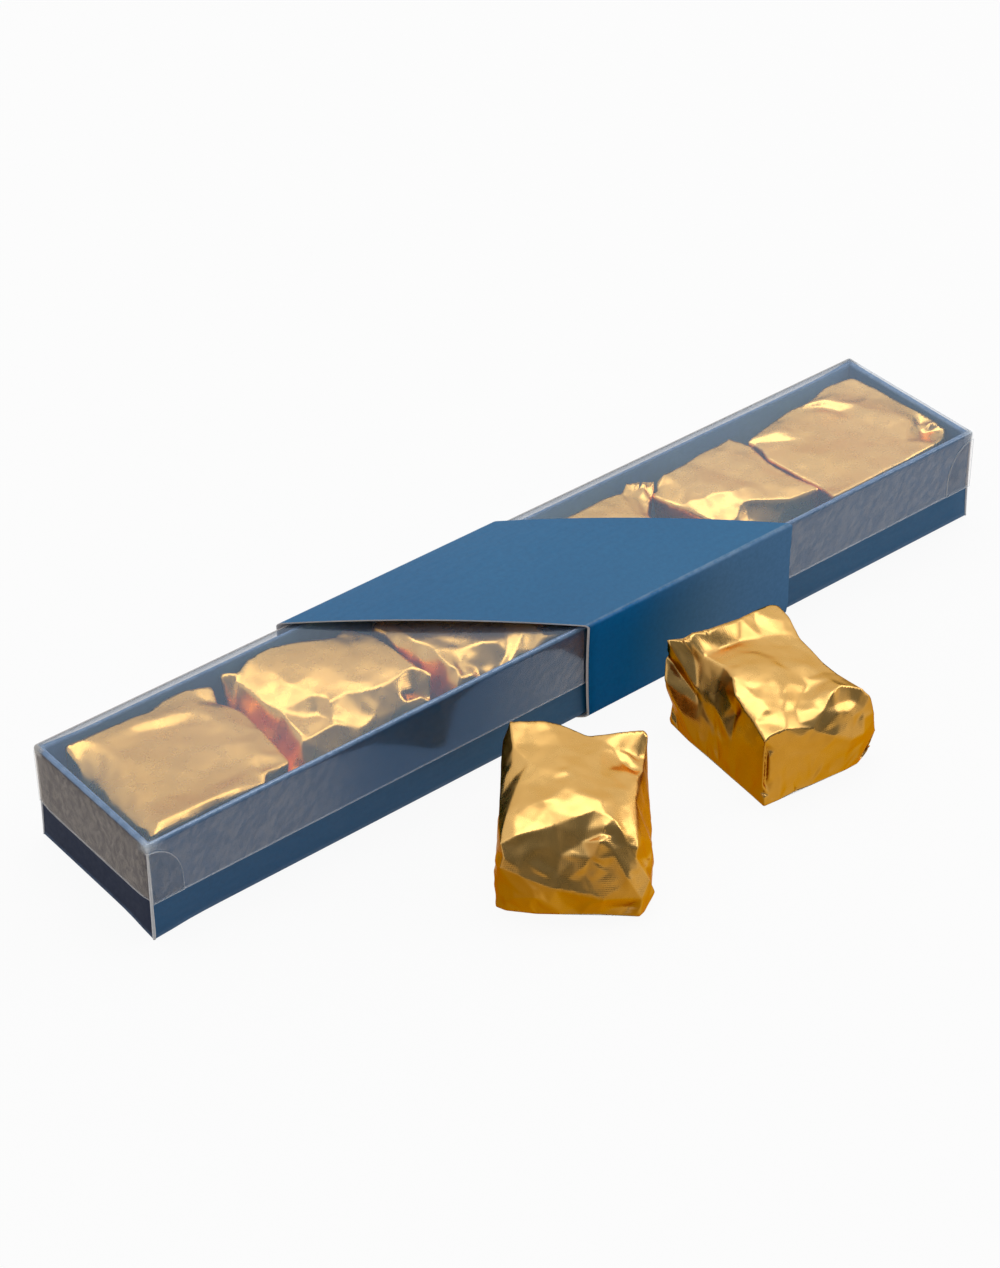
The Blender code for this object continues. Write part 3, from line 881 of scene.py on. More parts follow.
class Parcel:
    """A parcel's tables, where it stands, and rays of the photograph in its own u, v, z.

    seen, front and hidden give the foil's points as a name, three numbers and, if it isn't the
    parcel's own, how much the foil is crumpled there. In seen and front the first two numbers are
    a pixel of the photograph, and the third is the height or the depth at which it is met. foot is
    the outline it stands on, and bare holds the shares of it where a ring of the wall stays out.
    A parcel without an origin lies in the tray.
    """

    def __init__(self, label, seed, weight, foot, seen, hidden, folds, front="", bare=((), ()),
                 origin=None, turn=0.0):
        self.label, self.seed, self.weight = label, seed, weight
        self.foot, self.bare = foot, bare
        self.inside = origin is None
        self.body = "box" if self.inside else label
        self.base = BOX_BASE if self.inside else 0.0
        self.opening = PLAN_BOXED if self.inside else PLAN_LOOSE
        self.folds = fold_rows(folds)
        self.turn = math.radians(turn)
        self.origin = np.array([*(origin or (0.0, 0.0)), 0.0])
        c, s = math.cos(self.turn), math.sin(self.turn)
        self.axes = np.array([[c, s, 0], [-s, c, 0], [0, 0, 1]])
        self.points = []
        for table, axis in ((seen, 2), (front, 1)):
            for name, (px, py, value, *crumpled) in named_rows(table).items():
                self.keep(name, self.pixel(px, py, axis, value), *crumpled)
        for name, (u, v, z, *crumpled) in named_rows(hidden).items():
            self.keep(name, (u, v, z), *crumpled)

    def keep(self, name, own, weight=None):
        place = self.place(own)
        self.points.append((name, place, self.weight if weight is None else weight))

    def place(self, own):
        """An own place in the world. What is in the tray stays between its walls."""
        world = self.origin + np.asarray(own, float) @ self.axes
        if not self.inside:
            return world
        return np.array([*np.clip(world[:2], ROOM_LOW, ROOM_HIGH), world[2]])

    def pixel(self, px, py, axis, value):
        """The own place seen at a pixel where one own coordinate has this value."""
        ray = self.axes @ pixel_ray(px, py)
        start = self.axes @ (CAMERA_PLACE - self.origin)
        return start + ray * (value - start[axis]) / ray[axis]


def rectangle(low_x, low_y, high_x, high_y):
    return [(low_x, low_y), (high_x, low_y), (high_x, high_y), (low_x, high_y)]


N1 = Parcel(
    "1", seed=1, weight=0.25,
    foot=rectangle(-121.5, -19.0, -83.5, 19.2),
    seen="""
        a1 63 746 25 0.1, a2 80 740 25.3 0.1, a3 100 731 25.2 0.1, a4 125 720 25.3 0.1,
        a5 150 711 25.2 0.1, a6 165 699 25 0.2, a7 185 690 25.1 0.3, a8 198 688 25.5 0.3,
        a9 212 686 25.3 0.3, a10 217 703 24, a11 230 706 24.7, a12 243 711 24.6, a13 260 728 24.6,
        a14 280 750 24.4, a15 290 762 24.4, a16 265 772 25.4, a17 265 783 24.8, b1 240 794 25.5,
        b2 222 802 25.3, b3 205 810 25.2, b4 190 819 25.2, b5 172 827 25.2, b6 155 835 25.2,
        c1 148 838 24.6, n1 160 822 26.2 0.1, n2 190 808 26.3 0.1, n3 215 797 26.3 0.1,
        n4 240 787 26.1 0.1, e1 65 753 23.6 0, e2 76 762 23.2 0, f1 130 727 25.6, f2 150 720 25.75,
        f3 175 713 25.75, f4 192 711 25.5, g1 138 732 25.1, g2 165 728 25, g3 193 723 25,
        h1 207 713 25.7 0.6, h2 222 712 25.5 0.6, h3 196 722 25.2 0.5, k1 206 702 24.7,
        k2 197 697 25, m1 262 731 25, m2 256 752 25.6, m3 262 770 25, m4 225 743 25.65 0.1,
        m5 245 765 25.3, p1 200 760 25.4 0.1, p2 160 775 25.3 0.1, p3 130 757 25.3 0.1,
        p4 180 795 25.3 0.1, p5 222 780 25.4 0.1, p6 150 805 25.2 0.1
    """,
    hidden="""
        d1 -118.8 -14.5 25.4 0, d2 -116 -7.5 25.3 0, d3 -113.5 0.5 25.2 0, d4 -112.2 8 25.2 0,
        d5 -112.5 14.6 25.2 0, s1 -120.2 -14 25 0, s2 -118.2 -7.5 24.9 0, s3 -116.3 0 24.75 0,
        s4 -115 8 24.5 0, t1 -121 -13.5 24.5 0, t2 -119.6 -7.5 24.3 0, t3 -118.2 0 23.9 0,
        t4 -117.2 8 23.2 0, e3 -119 8.5 21.6 0, e4 -119.8 0.5 22.8 0, e5 -120.8 -7 23.4 0,
        e6 -121.7 -13 23.8 0, o1 -120.9 9 19.4 0, o2 -121.5 0.5 20.8 0, o3 -122 -7 21.4 0
    """,
    folds="""
        0.9 a1-a9, 0.9 a9 a10, 0.7 a10-a15, 1.0 a15-a17, 0.85 b6-b1 a17, 0.8 b6 c1, 0.9 a2 e2,
        0.8 a1 e1 e2, 0.1 b6 d1-d5 a2, 0.35 f1-f4, 0.3 g1-g3, 0.9 h3 h1 h2, 0.8 k2 k1 a10,
        0.8 a8 k2, 0.9 m1-m3 a16, 0.4 m4 m1, 0.4 a13 m1, 0.35 n1-n4
    """,
)

N2 = Parcel(
    "2", seed=2, weight=0.25,
    foot=rectangle(-80.6, -18.9, -43.0, 18.0),
    seen="""
        a 247 660 25 0.1, b 258 653 25.1 0.1, c 270 647 25.1 0.1, d 300 641 25.3 0.1,
        e 320 639 25.3 0.1, f 335 637 25.2 0.2, g 343 629 25.3 0.2, h 353 630 25.3 0.2,
        i 372 634 25.3, j 385 641 25.2, k 395 648 25.1, l 405 657 25, m 419 667 24.7, n 433 674 24,
        p 415 667 24.7, q 408 669 24.7, r 400 676 24.6, s 389 682 24.6, t 374 688 24.5,
        u 360 691 24.4, v 345 693 24.3, w 334 717 22, x 330 701 24, y1 281 711 22, y2 290 723 21.6,
        y3 304 735 21, y4 302 742 20.6, y5 320 732 20.9, y6 335 724 21.6, z1 300 700 23.3,
        z2 312 694 24, z3 327 697 24.1, dd 303 716 21.3, de 318 714 21.3, aa 236 681 23.6,
        ab 258 690 23.6, ac 262 702 22.8, ad 257 664 24.8, ae 275 672 24.9 0.1, af 292 685 24.7 0.1,
        ag 273 692 23.5 0.6, ea 218 674 24.6, eb 235 672 24.9, ec 222 680 23.8, ed 228 683 23.2,
        fa 362 728 20 0.3, fb 376 717 20.8 0.3, fd 400 692 22.6 0.5, fe 408 706 18.2 0.6,
        fg 420 692 22.6 0.5, fh 432 698 21 0.5, fi 414 708 17.6 0.5, q1 320 665 25.4 0.05,
        q2 360 660 25.4 0.05, q3 390 668 25.2 0.05, q4 345 680 25 0.05, q5 300 655 25.4 0.05,
        q6 345 637 25 0.3
    """,
    hidden="""
        r1 -41.5 -4 21, r2 -43.2 8 20, r3 -41 -14 20, g1 -60 -17.8 14, g2 -48 -17.8 14.5,
        g3 -72 -16.5 13.5
    """,
    folds="""
        0.8 a-n, 1.0 n p-v, 1.0 v w, 0.6 v x w, 0.9 y1-y4, 1.0 y4-y6 w, 0.7 y1 z1-z3 x,
        0.8 a aa ab ad a, 0.4 ad ae af z2, 0.8 aa ac y1, 0.8 aa eb ea ec ed aa, 0.7 v fb fa w,
        0.5 r fd fe, 0.5 fg fh, 0.5 f q6 h
    """,
)

N3 = Parcel(
    "3", seed=3, weight=0.25,
    foot=rectangle(-40.6, -18.9, -5.0, 18.4),
    seen="""
        lb 380 621 25.1, lc 400 630 25.1, ld 412 640 25, le 430 645 24.9, lf 440 657 24.6,
        lg 448 665 24.3, lh 457 668 24, li 460 678 22.8, lj 459 686 21.6, ka 372 628 24,
        kb 393 645 23, kc 420 660 22.5, kd 448 681 21.5, ta 437 648 25 0.1, tb 464 648 24.5,
        tc 483 642 25.1, td 496 642 24.9, ra 508 636 24.4, rb 521 624 26, rc 527 620 26.3,
        rd 535 625 25.7, re 549 637 24.3, rf 561 633 24.6, ba 461 672 22.4, bb 496 674 20 0.1,
        bc 509 665 21.9 0.1, bd 536 652 22.3 0.1, be 507 652 22.9 0.1, bf 478 668 21.5 0.1,
        ts 470 630 25.2 0.1, tt 440 632 25.3 0.1
    """,
    hidden="""
        h1 -30 17.5 25, h2 -20 18.2 25.2, h3 -9 17 25, h4 -6 5 25.1, h5 -6 -8 24.6, h6 -20 5 25.5,
        h7 -13 -2 25.5, h8 -35 14.5 24.8, h9 -6.5 -17 22
    """,
    folds="""
        0.8 h8 lb lc ld le lf lg lh li lj, 0.7 ta tb tc td ra rb rc rd re rf, 0.9 tb ba, 0.8 tc bf,
        1.0 rc bc, 1.0 rd bd, 0.7 ra be bb, 0.7 h8 h1-h5 h9
    """,
)

R3 = Parcel(
    "4", seed=4, weight=0.3,
    foot=rectangle(3.5, -18.7, 41.0, 18.0),
    seen="""
        a 565 518 25, b 580 511 25, c 590 506 25.1, d 600 500 25, e 610 496 25.1, f 620 493 25.2,
        g 625 496 24.7, h 624 491 25, i 626 483 25.3 0.7, j 640 480.5 25.4 0.7, k 654 481 25.2 0.7,
        l 656 489 24.2 0.7, m 650 500 23.5 0.8, n 648 515 23 0.8, o 636 497 24 1, p 640 488 23.6 1,
        q 632 502 24.6 0.9, r 618 505 25.2 0.4, s 640 512 24.2 0.8, t 646 490 23.4 0.9
    """,
    hidden="""
        h1 5 17.5 25, h2 14 17.8 25, h3 4 5 25.2, h4 4.2 -8 25, h5 5.5 -17.6 24.6, h6 20 -18 24.8,
        h7 35 -17.5 24.4, h8 41 -10 24, h9 22 0 25.5, h10 14 8 25.4, h11 30 6 25.3, h12 43 1 22
    """,
    folds="""
        0.8 h1 h2 a-l, 0.7 l-n h12 h8, 0.8 g q s, 0.8 i o s, 0.8 p o, 0.7 k t m, 0.7 h1 h3-h8
    """,
)

R2 = Parcel(
    "5", seed=5, weight=0.3,
    foot=rectangle(48.8, -18.7, 80.0, 16.5),
    seen="""
        a 656 482 24.6, b 664 474 25, c 677 468 25.1, d 690 460 25.1, e 700 453 25.1,
        f 712 448 25.2, g 729 439 25.6, h 740 442 25.3, i 751 446 25.1, j 758 453 25,
        k 767 461 24.9, l 790 475 24.8, m 820 488 24.4, n 806 493 24.5, o 790 499 24.3,
        p 775 500 24.4, q 753 500 24.6, r 745 502 24.4, s 741 508 23.6, t 737 519 22.2,
        u 652 495 23.8, v 666 502 23.6, w 681 507 23.5, x 702 516 23, y 712 520 22.8,
        c1 690 500 24.8 0.9, c2 703 498 25.2 0.9, c3 712 494 25.3 0.6, c4 730 491 25.4 0.5,
        c5 743 487 25.4 0.5, c6 752 487 25.2 0.3, c7 709 511 23.6 0.6, c8 728 504 24 0.5,
        v1 690 467 25.3, v2 708 469 24.9, v3 722 463 25.2, v4 735 470 25.2, v5 755 482 25,
        v6 776 498 24.6, w1 723 452 25.6, w2 737 461 25.5, w3 760 470 25.2, w4 700 482 25.4 0.1,
        w5 792 486 24.9, x1 764 508 22.6 0.2, x2 762 520 20.6 0.2, x3 747 508 22.8 0.2,
        x4 778 513 21.2 0.2, x5 800 505 22.2 0.2, x6 748 519 21 0.2, e1 660 486 24 0.7,
        e2 657 490 23.4 0.7
    """,
    hidden="""
        h1 72 -17.6 15, h2 58 -17.4 15, h3 80 -16.5 18, h4 52 -12 19
    """,
    folds="""
        0.8 a-m, 1.0 m-r, 0.9 r-t, 0.7 a e2 u-y, 0.9 c1-c6, 0.7 c2 c7, 0.7 c4 c8 t, 0.4 v1-v3,
        0.5 v3-v6, 0.6 g w1-w3, 0.8 r x3 x6, 0.7 x3 x1 x2, 0.6 x1 x4, 0.7 b e1 e2, 0.5 w5 o
    """,
)

R1 = Parcel(
    "6", seed=6, weight=0.22,
    foot=rectangle(83.0, -19.0, 121.0, 18.0),
    seen="""
        a 852 377 25.4 0.1, b 838 382 25.3 0.1, c 825 387 25.2 0.1, d 812 399 25.2, e 803 405 25.4,
        f 792 409 25, g 770 424 25.1, h 752 438 24.9, i 746 443 24.3, i2 753 445 24.2,
        j 762 450 24.7, k 766 458 24.7, l 790 471 24.8, m 802 478 24.7, n 820 487 24.7,
        o 835 498 25.9, p 875 388 25.3 0.1, q 900 402 25.2 0.1, r 925 411 25.1 0.2,
        s 940 418 25 0.3, t 947 428 24.4 0.3, u 945 436 23.8 0.3, v 933 445 25.2 0.3,
        c1 882 428 25.6 0.2, c2 900 416 26.4 0.5, c3 910 420 26.2 0.7, c4 920 424 23.9 0.8,
        c5 931 422 25.9 0.6, c6 922 433 23.4 0.7, c7 938 430 23.7 0.6, c8 905 441 25.6 0.3,
        c9 927 438 24.1 0.6, f1 825 399 26, f2 857 405 25.7, f3 840 411 24.6, f4 800 411 24.9,
        f5 820 406 24.6, k1 860 396 24.7, g1 776 431 25.9, g2 757 443 24.5, g3 805 440 24.8,
        q1 850 430 24.9 0.1, q2 820 455 25.6 0.1, q3 860 460 25.8 0.1, q4 890 400 25.2 0.1,
        q5 840 478 25.4 0.1, z1 905 461 26 0.1, z2 875 476 26 0.1, z3 850 490 26 0.1
    """,
    hidden="""
        h1 119 -18.6 20, h2 100 -18.8 19
    """,
    folds="""
        0.8 a-i, 0.7 i i2 j-o, 0.8 a p-s, 0.9 s-v, 0.6 v z1-z3 o, 0.8 c1-c5 s, 0.6 c5 c6,
        0.6 t c7 c6, 0.5 c4 c8, 0.6 c6 c9 v, 0.4 e f1 f2, 0.35 f4-f2, 0.4 e f5 f3, 0.35 k1 p,
        0.4 h g1, 0.35 g2 g3, 0.6 i2 g2
    """,
)

LOOSE_A = Parcel(
    "loose_a", seed=7, weight=0.18,
    origin=(-50.0, -74.85), turn=-42.4,
    foot=[
        (-17.2, 2.4), (-14.9, 1.2), (-8.0, 0.4), (-2.7, 0.5), (6.0, 0.9), (14.8, 0.7), (15.9, 2.4),
        (17.5, 7.4), (16.5, 20.0), (15.2, 38.0), (13.0, 39.6), (-16.0, 39.6), (-17.2, 37.0),
        (-17.3, 20.0), (-17.3, 4.6),
    ],
    bare=((), ((0.0, 0.30), (0.97, 1.0))),
    seen="""
        a1 510 721 23.4, a2 543 720 23.8, a3 560 724 22.9, a4 588 736 21.2, a5 605 734 21.8,
        a6 625 731 22.4, a7 644 729 22.8, a8 649 735 21.8, a9 646 748 20, a10 645 757 18.6,
        s1 643 770 19.4 0.5, s2 638 776 20.4 0.5, s3 636 800 20.2, s4 637 830 18.6, s5 638 848 17,
        t1 613 748 21 0.5, t2 628 752 20 0.8, t3 601 749 22, t4 622 762 19.6 0.6, t5 600 778 22.8,
        t6 612 787 22.8, t7 628 790 21.6, l1 503 740 19, l2 501 765 17.6, l3 499 800 17.4,
        l4 498 825 17.2, l5 495 860 12, l6 493.5 885 5, m1 513 746 22.4, m3 529 762 22.8,
        m4 515 790 21, m5 506 815 20, c1 565 770 24 0.1, c2 545 800 23.6 0.1, c3 600 800 24.2 0.1,
        c4 560 745 23.2 0.1, c5 588 752 22, c6 575 790 24.2 0.1
    """,
    front="""
        r1 500 844 3, r2 515 836 4, r3 535 831 5, r4 555 826 6, r5 578 816 7.5, r6 594 810 9,
        r7 605 814 8, r8 614 819 7, r9 620 828 5.5, r10 628 845 4, r11 636 858 3.2, r12 650 880 3,
        r13 655 892 4, o1 606 826 5.4, o2 614 850 1.8, o3 628 878 -0.6, b1 503 857 1.2,
        b2 500 868 0.4, b3 520 876 -1, b4 556 890 -2, b5 604 900 -2, b6 642 899 -0.6,
        g1 583 842 3.8 0.5, g2 603 833 4.6 0.5, g3 612 836 4.2 0.4, g4 600 841 2 0.5,
        g5 572 848 3.2 0.6, g6 590 858 1 0.6, g7 560 856 2.2 0.4, g8 530 850 2.2 0.4,
        g9 585 874 0.1 0.5, g10 610 872 0.2 0.5, k1 505 902 0.6, k2 521 909 0.3, k3 513 898 -0.8,
        k4 535 898 -2, k5 630 906 1.6, k6 600 910 0.2, k7 640 908 0.2, e1 498 880 1.8,
        e2 497 898 2.2
    """,
    hidden="""
        x1 14.4 38.6 14 0.1, x2 -17.3 38.5 12, x3 0 40.5 12, x4 16.2 24 12 0.1, x5 16.8 12 12 0.1,
        x6 -17.2 24 9 0.1
    """,
    folds="""
        0.6 a1-a7, 0.8 a7-a10, 1.0 r1-r8, 1.0 r8-r13, 0.7 a10 s1-s5 r11, 0.8 t3 t1 t2 s1,
        0.6 t1 t4 s2, 0.45 t5-t7, 0.4 t3 t5, 0.7 a1 m1 m3-m5 r1, 0.7 a1 l1-l4 r1, 0.6 m1 l2,
        0.7 r1 b1 b2 e1 e2, 0.25 b2-b6, 0.8 g1-g3 o1, 0.8 g1 g4 g3, 0.9 r8 o1-o3 b6, 0.8 r4 g7,
        0.5 g5 g6 g10, 0.4 g8 b3, 0.8 k3 k1 k2, 0.7 k3 k4 k2, 0.8 k6 k5 k7, 0.8 b6 r12, 0.6 g6 g9 b5
    """,
)

LOOSE_B = Parcel(
    "loose_b", seed=8, weight=0.2,
    origin=(6.65, -74.4), turn=-9.0,
    foot=[
        (0.9, 0.5), (5.4, 0.7), (10.0, 1.3), (14.7, 1.3), (19.9, 1.6), (24.6, 1.8), (28.5, 2.4),
        (31.0, 5.0), (31.0, 20.0), (30.0, 38.0), (1.0, 39.4), (-1.2, 37.6), (-1.2, 29.5),
        (-0.5, 21.9), (0.0, 13.7), (0.6, 5.9),
    ],
    bare=((), ((0.0, 0.30), (0.70, 1.0))),
    seen="""
        a1 667 640 24.3, a2 692 633 24.5, a3 715 626 24.3, a4 740 617 23.4, a5 757 609 22.7,
        a6 771 604 22.2, a7 778 605 22, a8 790 618 21.4, a9 797 632 20.8, a10 800 638 20.6,
        a11 812 650 19.8, a12 823 662 19.4, a13 838 674 19.8, d1 733 677 22.4, d2 735 695 21.2,
        d3 743 707 20.4, d4 755 723 19.4, d5 725 667 21.8, d6 705 656 21.2, d7 690 642 23.1,
        e1 683 645 21.2, e2 676 668 16.8, e3 697 696 12.8, e4 692 650 21, e5 697 690 14.6,
        e6 665.5 655 19.6, e7 664 681 15.4, f1 714 706 13.8, f2 731 742 9.9, f3 733 706 17.4,
        f4 736 712 16.2, f5 705 704 12.6, f6 720 690 17.6, t1 718 649 20.7 0.1, t3 740 641 20.7 0.1,
        t4 762 638 20.9 0.1, t5 778 635 20.9, t6 795 633 20.8, t7 722 638 22.3 0.1, t8 755 622 21.9,
        t9 761 614 22.6, t10 780 646 20.9, t11 793 646 20.6, u1 745 665 22.6 0.5,
        u2 760 664 22.6 0.5, u3 790 670 21.4 0.7, u4 800 675 20.6 0.7, u5 808 678 20.4 0.7,
        u6 820 672 20 0.6, u7 800 700 19.6 0.5, u8 812 690 19.8 0.5, u9 785 700 21 0.3,
        u10 760 700 21.8 0.3, u11 775 680 22.2 0.4
    """,
    front="""
        n1 765.5 741 1.5, n2 770 736 2, n3 786 729 2.2, n4 800 728 2, n5 813 728.5 1.2,
        n6 824 710 3.2, n7 834 691 5.4, n8 840 685 6.5, n9 850 686 6.2, n10 863 689 5,
        n11 871 696 4.2, h2 874.5 712 3.2, h8 875.5 730 3.2, h9 873 745 3.4 0.1,
        h10 867 754 2.6 0.1, h6 836 736 -0.6, h7 852 740 -0.6, h1 864 734 0.4, f0 820 733 0.5,
        h3 838 703 4 0.4, h4 852 700 4.4 0.4, h5 843 712 2.2 0.4, h11 864 708 3 0.4,
        h12 828 724 1 0.4, q1 800 755 1, q2 820 752 0.8, q3 780 770 0.9, q4 845 756 1,
        q5 800 775 1.3, q6 785 745 1.5, c1 763.5 760 1, c2 762.2 785 0.9, s1 766.5 748 2.4,
        s2 766 765 2.2, s3 765 785 1.9, s4 769.5 756 1.2, s5 769 778 1.1, p5 852 765 2,
        p6 858 757 1.3, p7 768 801 0.6, p8 795 790 1.8
    """,
    hidden="""
        x1 31.2 22 11, x2 30.5 36.5 12, x3 15 40.5 12, x4 -2.3 38 11 0.1, x5 -0.9 27 8 0.1,
        x6 0 14 7 0.1
    """,
    folds="""
        0.7 a1-a9, 0.6 a9-a13 n10, 0.6 n10 n11 h2 h8 h9, 1.0 n1-n10, 0.8 a1 d7-d5 d1-d4 n1,
        0.6 a1 e6 e7, 0.6 a1 e1-e3, 0.5 d7 e4 e5 e3, 0.7 d1 f6 f1 f2, 0.6 d2 f3 f4 f2, 0.4 e3 f5 f1,
        0.9 n1 c1 c2, 0.5 n5 f0 h6 h7 h1 h8, 0.8 h3 h5 h4, 0.6 h3 h4, 0.55 d6 t1 t3-t6,
        0.3 a2 t7 t3, 0.6 t5 t8 t9, 0.5 t10 t11, 0.7 u1 u2, 0.8 u3-u6, 0.5 u7 u8, 0.5 d1 u10,
        0.9 s1-s3, 0.8 s4 s5, 0.7 p5 p6, 0.5 q6 q2 q4
    """,
)

PARCELS = (N1, N2, N3, R3, R2, R1, LOOSE_A, LOOSE_B)


# Gold foil
GRID = 0.62
GRID_GAP_SHARE = 0.62
ROW_SHARE = 0.866
PLAN_TOP = 26.0
CDT_GAP = 1e-5
INSIDE_EDGES = 1
FACET = 4.4
FACET_HEIGHT = 0.9
FACET_SCATTER_SHARE = 0.38
FACET_GAP_SHARE = 0.42
FACET_EDGE_SHARE = 0.02
FACET_FLOOR = 3
FACET_LIFT = 0.01
NO_AREA = 1e-9
EDGE_SLACK = 1e-7
CLEAR_BATCH = 2000
SMOOTH_ROUNDS = 3
SMOOTH_STEP = 0.5
FOLD_END_SHARE = 0.35
FOLD_CROSSING_SHARE = 0.3
FOOT_STEP = 5.0
FOOT_WEIGHT = 0.35
FOOT_WOBBLE = 0.35
LID_CLEARANCE = 0.15
CALM_HEIGHT = 2.0
# How far above the base each ring of the walls is, and how far it stands out
WALL_RINGS = ((0.0, -0.2), (0.9, 0.0), (9.0, 0.25))
# The rings that close the foil underneath: each one's share of the last, and its height
UNDER_RINGS = ((0.90, 0.0), (0.72, 0.35), (0.25, 0.6))
# Crumples: how far each kind moves the foil and how often it repeats per millimetre
BROAD, BROAD_PITCH = 0.34, 0.080
BROAD_LEAST, BROAD_MORE = 0.30, 0.70
PILLOW, PILLOW_PITCH, PILLOW_CREASE = 0.50, 0.17, 0.16
PILLOW_LEAST, PILLOW_MORE = 0.45, 0.55
SMALL, SMALL_PITCH = 0.30, 0.30
GATE_PITCH, GATE_STEEPNESS = 0.12, 1.6


def plan_of(place, middle, opening):
    """The plan of the foil, opened out so that the walls lie round the top."""
    drop = np.maximum(PLAN_TOP - place[:, 2], 0)
    wider = 1 + opening[0] * drop + opening[1] * drop**2
    return middle + (place[:, :2] - middle) * wider[:, None]


def triangles_of(plan, edges):
    """Triangles between the points of the plan. Where edges cross, the nearest point serves."""
    made = delaunay_2d_cdt([Vector(p) for p in plan], edges, [], INSIDE_EDGES, CDT_GAP, True)
    verts, _, faces, origins = made[:4]
    source = []
    for vert, found in zip(verts, origins):
        if not found:
            found = [int(np.argmin(np.linalg.norm(plan - np.array(vert), axis=1)))]
        source.append(found[0])
    triangles = [[source[i] for i in face] for face in faces]
    return [tri for tri in triangles if len(set(tri)) == 3]


def corner_shares(points, a, b, c):
    """How much of each corner of a triangle makes up each point, or None if it has no area."""
    v0, v1, v2 = b - a, c - a, points - a
    area = v0[0] * v1[1] - v0[1] * v1[0]
    if abs(area) < NO_AREA:
        return None
    s = (v2[:, 0] * v1[1] - v2[:, 1] * v1[0]) / area
    t = (v0[0] * v2[:, 1] - v0[1] * v2[:, 0]) / area
    return np.stack([1 - s - t, s, t], 1)


def fold_strengths(folds, ring):
    """The strength of the fold between each pair of neighbouring points."""
    strengths = {}
    for strength, path in [*folds, (1.0, ring + ring[:1])]:
        for a, b in zip(path, path[1:]):
            strengths[(min(a, b), max(a, b))] = strength
    return strengths


def staggered(plan, step):
    """A grid of points a step apart over the plan, each row half a step along."""
    low, high = plan.min(0), plan.max(0)
    rows = int((high[1] - low[1]) / (step * ROW_SHARE)) + 2
    columns = int((high[0] - low[0]) / step) + 2
    gy, gx = np.mgrid[0:rows, 0:columns].astype(float)
    across = low[0] + (gx + 0.5 * (gy % 2)) * step
    return np.stack([across, low[1] + gy * step * ROW_SHARE], -1).reshape(-1, 2)


def clear_of(grid, known, gap):
    """Which points of the grid keep this gap from all the known ones."""
    clear = np.ones(len(grid), bool)
    for start in range(0, len(grid), CLEAR_BATCH):
        part = grid[start:start + CLEAR_BATCH]
        near = ((part[:, None, :] - known[None, :, :]) ** 2).sum(-1).min(1)
        clear[start:start + CLEAR_BATCH] = near > gap**2
    return clear


def add_facets(places, weights, folds, ring, middle, opening, seed):
    """Scatters more corners between the given points, each pushed in or out a little."""
    plan = plan_of(places, middle, opening)
    corners = triangles_of(plan, list(fold_strengths(folds, ring)))
    chance = np.random.default_rng(seed)
    grid = staggered(plan, FACET)
    scatter = chance.uniform(-FACET_SCATTER_SHARE, FACET_SCATTER_SHARE, grid.shape)
    grid = grid + scatter * FACET
    push = chance.uniform(-1, 1, len(grid))
    clear = clear_of(grid, plan, FACET * FACET_GAP_SHARE)
    grid, push = grid[clear], push[clear]
    taken = np.zeros(len(grid), bool)
    more, more_weights = [], []
    for tri in corners:
        shares = corner_shares(grid, *plan[tri])
        if shares is None:
            continue
        inside = (shares > FACET_EDGE_SHARE).all(1) & ~taken
        taken |= inside
        corner = places[tri]
        normal = np.cross(corner[1] - corner[0], corner[2] - corner[0])
        size = np.linalg.norm(normal)
        if size < TINY:
            continue
        normal = normal / size * (1 if normal[2] >= 0 else -1)
        lowest = corner[:, 2].min()
        for share, amount in zip(shares[inside], push[inside]):
            place, weight = share @ corner, float(share @ weights[tri])
            if place[2] > lowest + FACET_LIFT or lowest > FACET_FLOOR:
                place = place + normal * amount * weight * FACET_HEIGHT
            more.append(place)
            more_weights.append(weight)
    return np.vstack([places, more]), np.concatenate([weights, more_weights])


def cut_folds(plan, places, weights, strengths):
    """Points along the folds at about the grid's step: (plan, places, weights) and the lines."""
    points = list(zip(plan, places, weights))
    lines = []
    for (a, b), strength in strengths.items():
        cuts = max(1, int(round(np.linalg.norm(plan[a] - plan[b]) / GRID)))
        before = a
        for cut in range(1, cuts + 1):
            now = b if cut == cuts else len(points)
            if cut < cuts:
                share = cut / cuts
                ends = zip(points[a], points[b])
                points.append(tuple(x * (1 - share) + y * share for x, y in ends))
            lines.append((before, now, strength))
            before = now
    return [np.array(column) for column in zip(*points)], lines


def fine_sheet(places, weights, folds, ring, middle, opening):
    """A fine triangle sheet over the coarse places, with its folds."""
    plan = plan_of(places, middle, opening)
    strengths = fold_strengths(folds, ring)
    (known, known_places, known_weights), lines = cut_folds(plan, places, weights, strengths)
    grid = staggered(plan, GRID)
    grid = grid[clear_of(grid, known, GRID * GRID_GAP_SHARE)]
    spots = np.full((len(grid), 4), np.nan)
    for tri in triangles_of(plan, list(strengths)):
        shares = corner_shares(grid, *plan[tri])
        if shares is None:
            continue
        inside = (shares > -EDGE_SLACK).all(1) & np.isnan(spots[:, 0])
        if inside.any():
            spots[inside, :3] = shares[inside] @ places[tri]
            spots[inside, 3] = shares[inside] @ weights[tri]
    inside = ~np.isnan(spots[:, 0])
    grid, spots = grid[inside], spots[inside]
    triangles = triangles_of(np.vstack([known, grid]), [(a, b) for a, b, _ in lines])
    all_places = np.vstack([known_places, spots[:, :3]])
    return all_places, triangles, np.concatenate([known_weights, spots[:, 3]]), lines


def neighbour_sum(values, pairs):
    """For each point, the sum of its neighbours' values."""
    total = np.zeros_like(values)
    np.add.at(total, pairs[:, 0], values[pairs[:, 1]])
    np.add.at(total, pairs[:, 1], values[pairs[:, 0]])
    return total


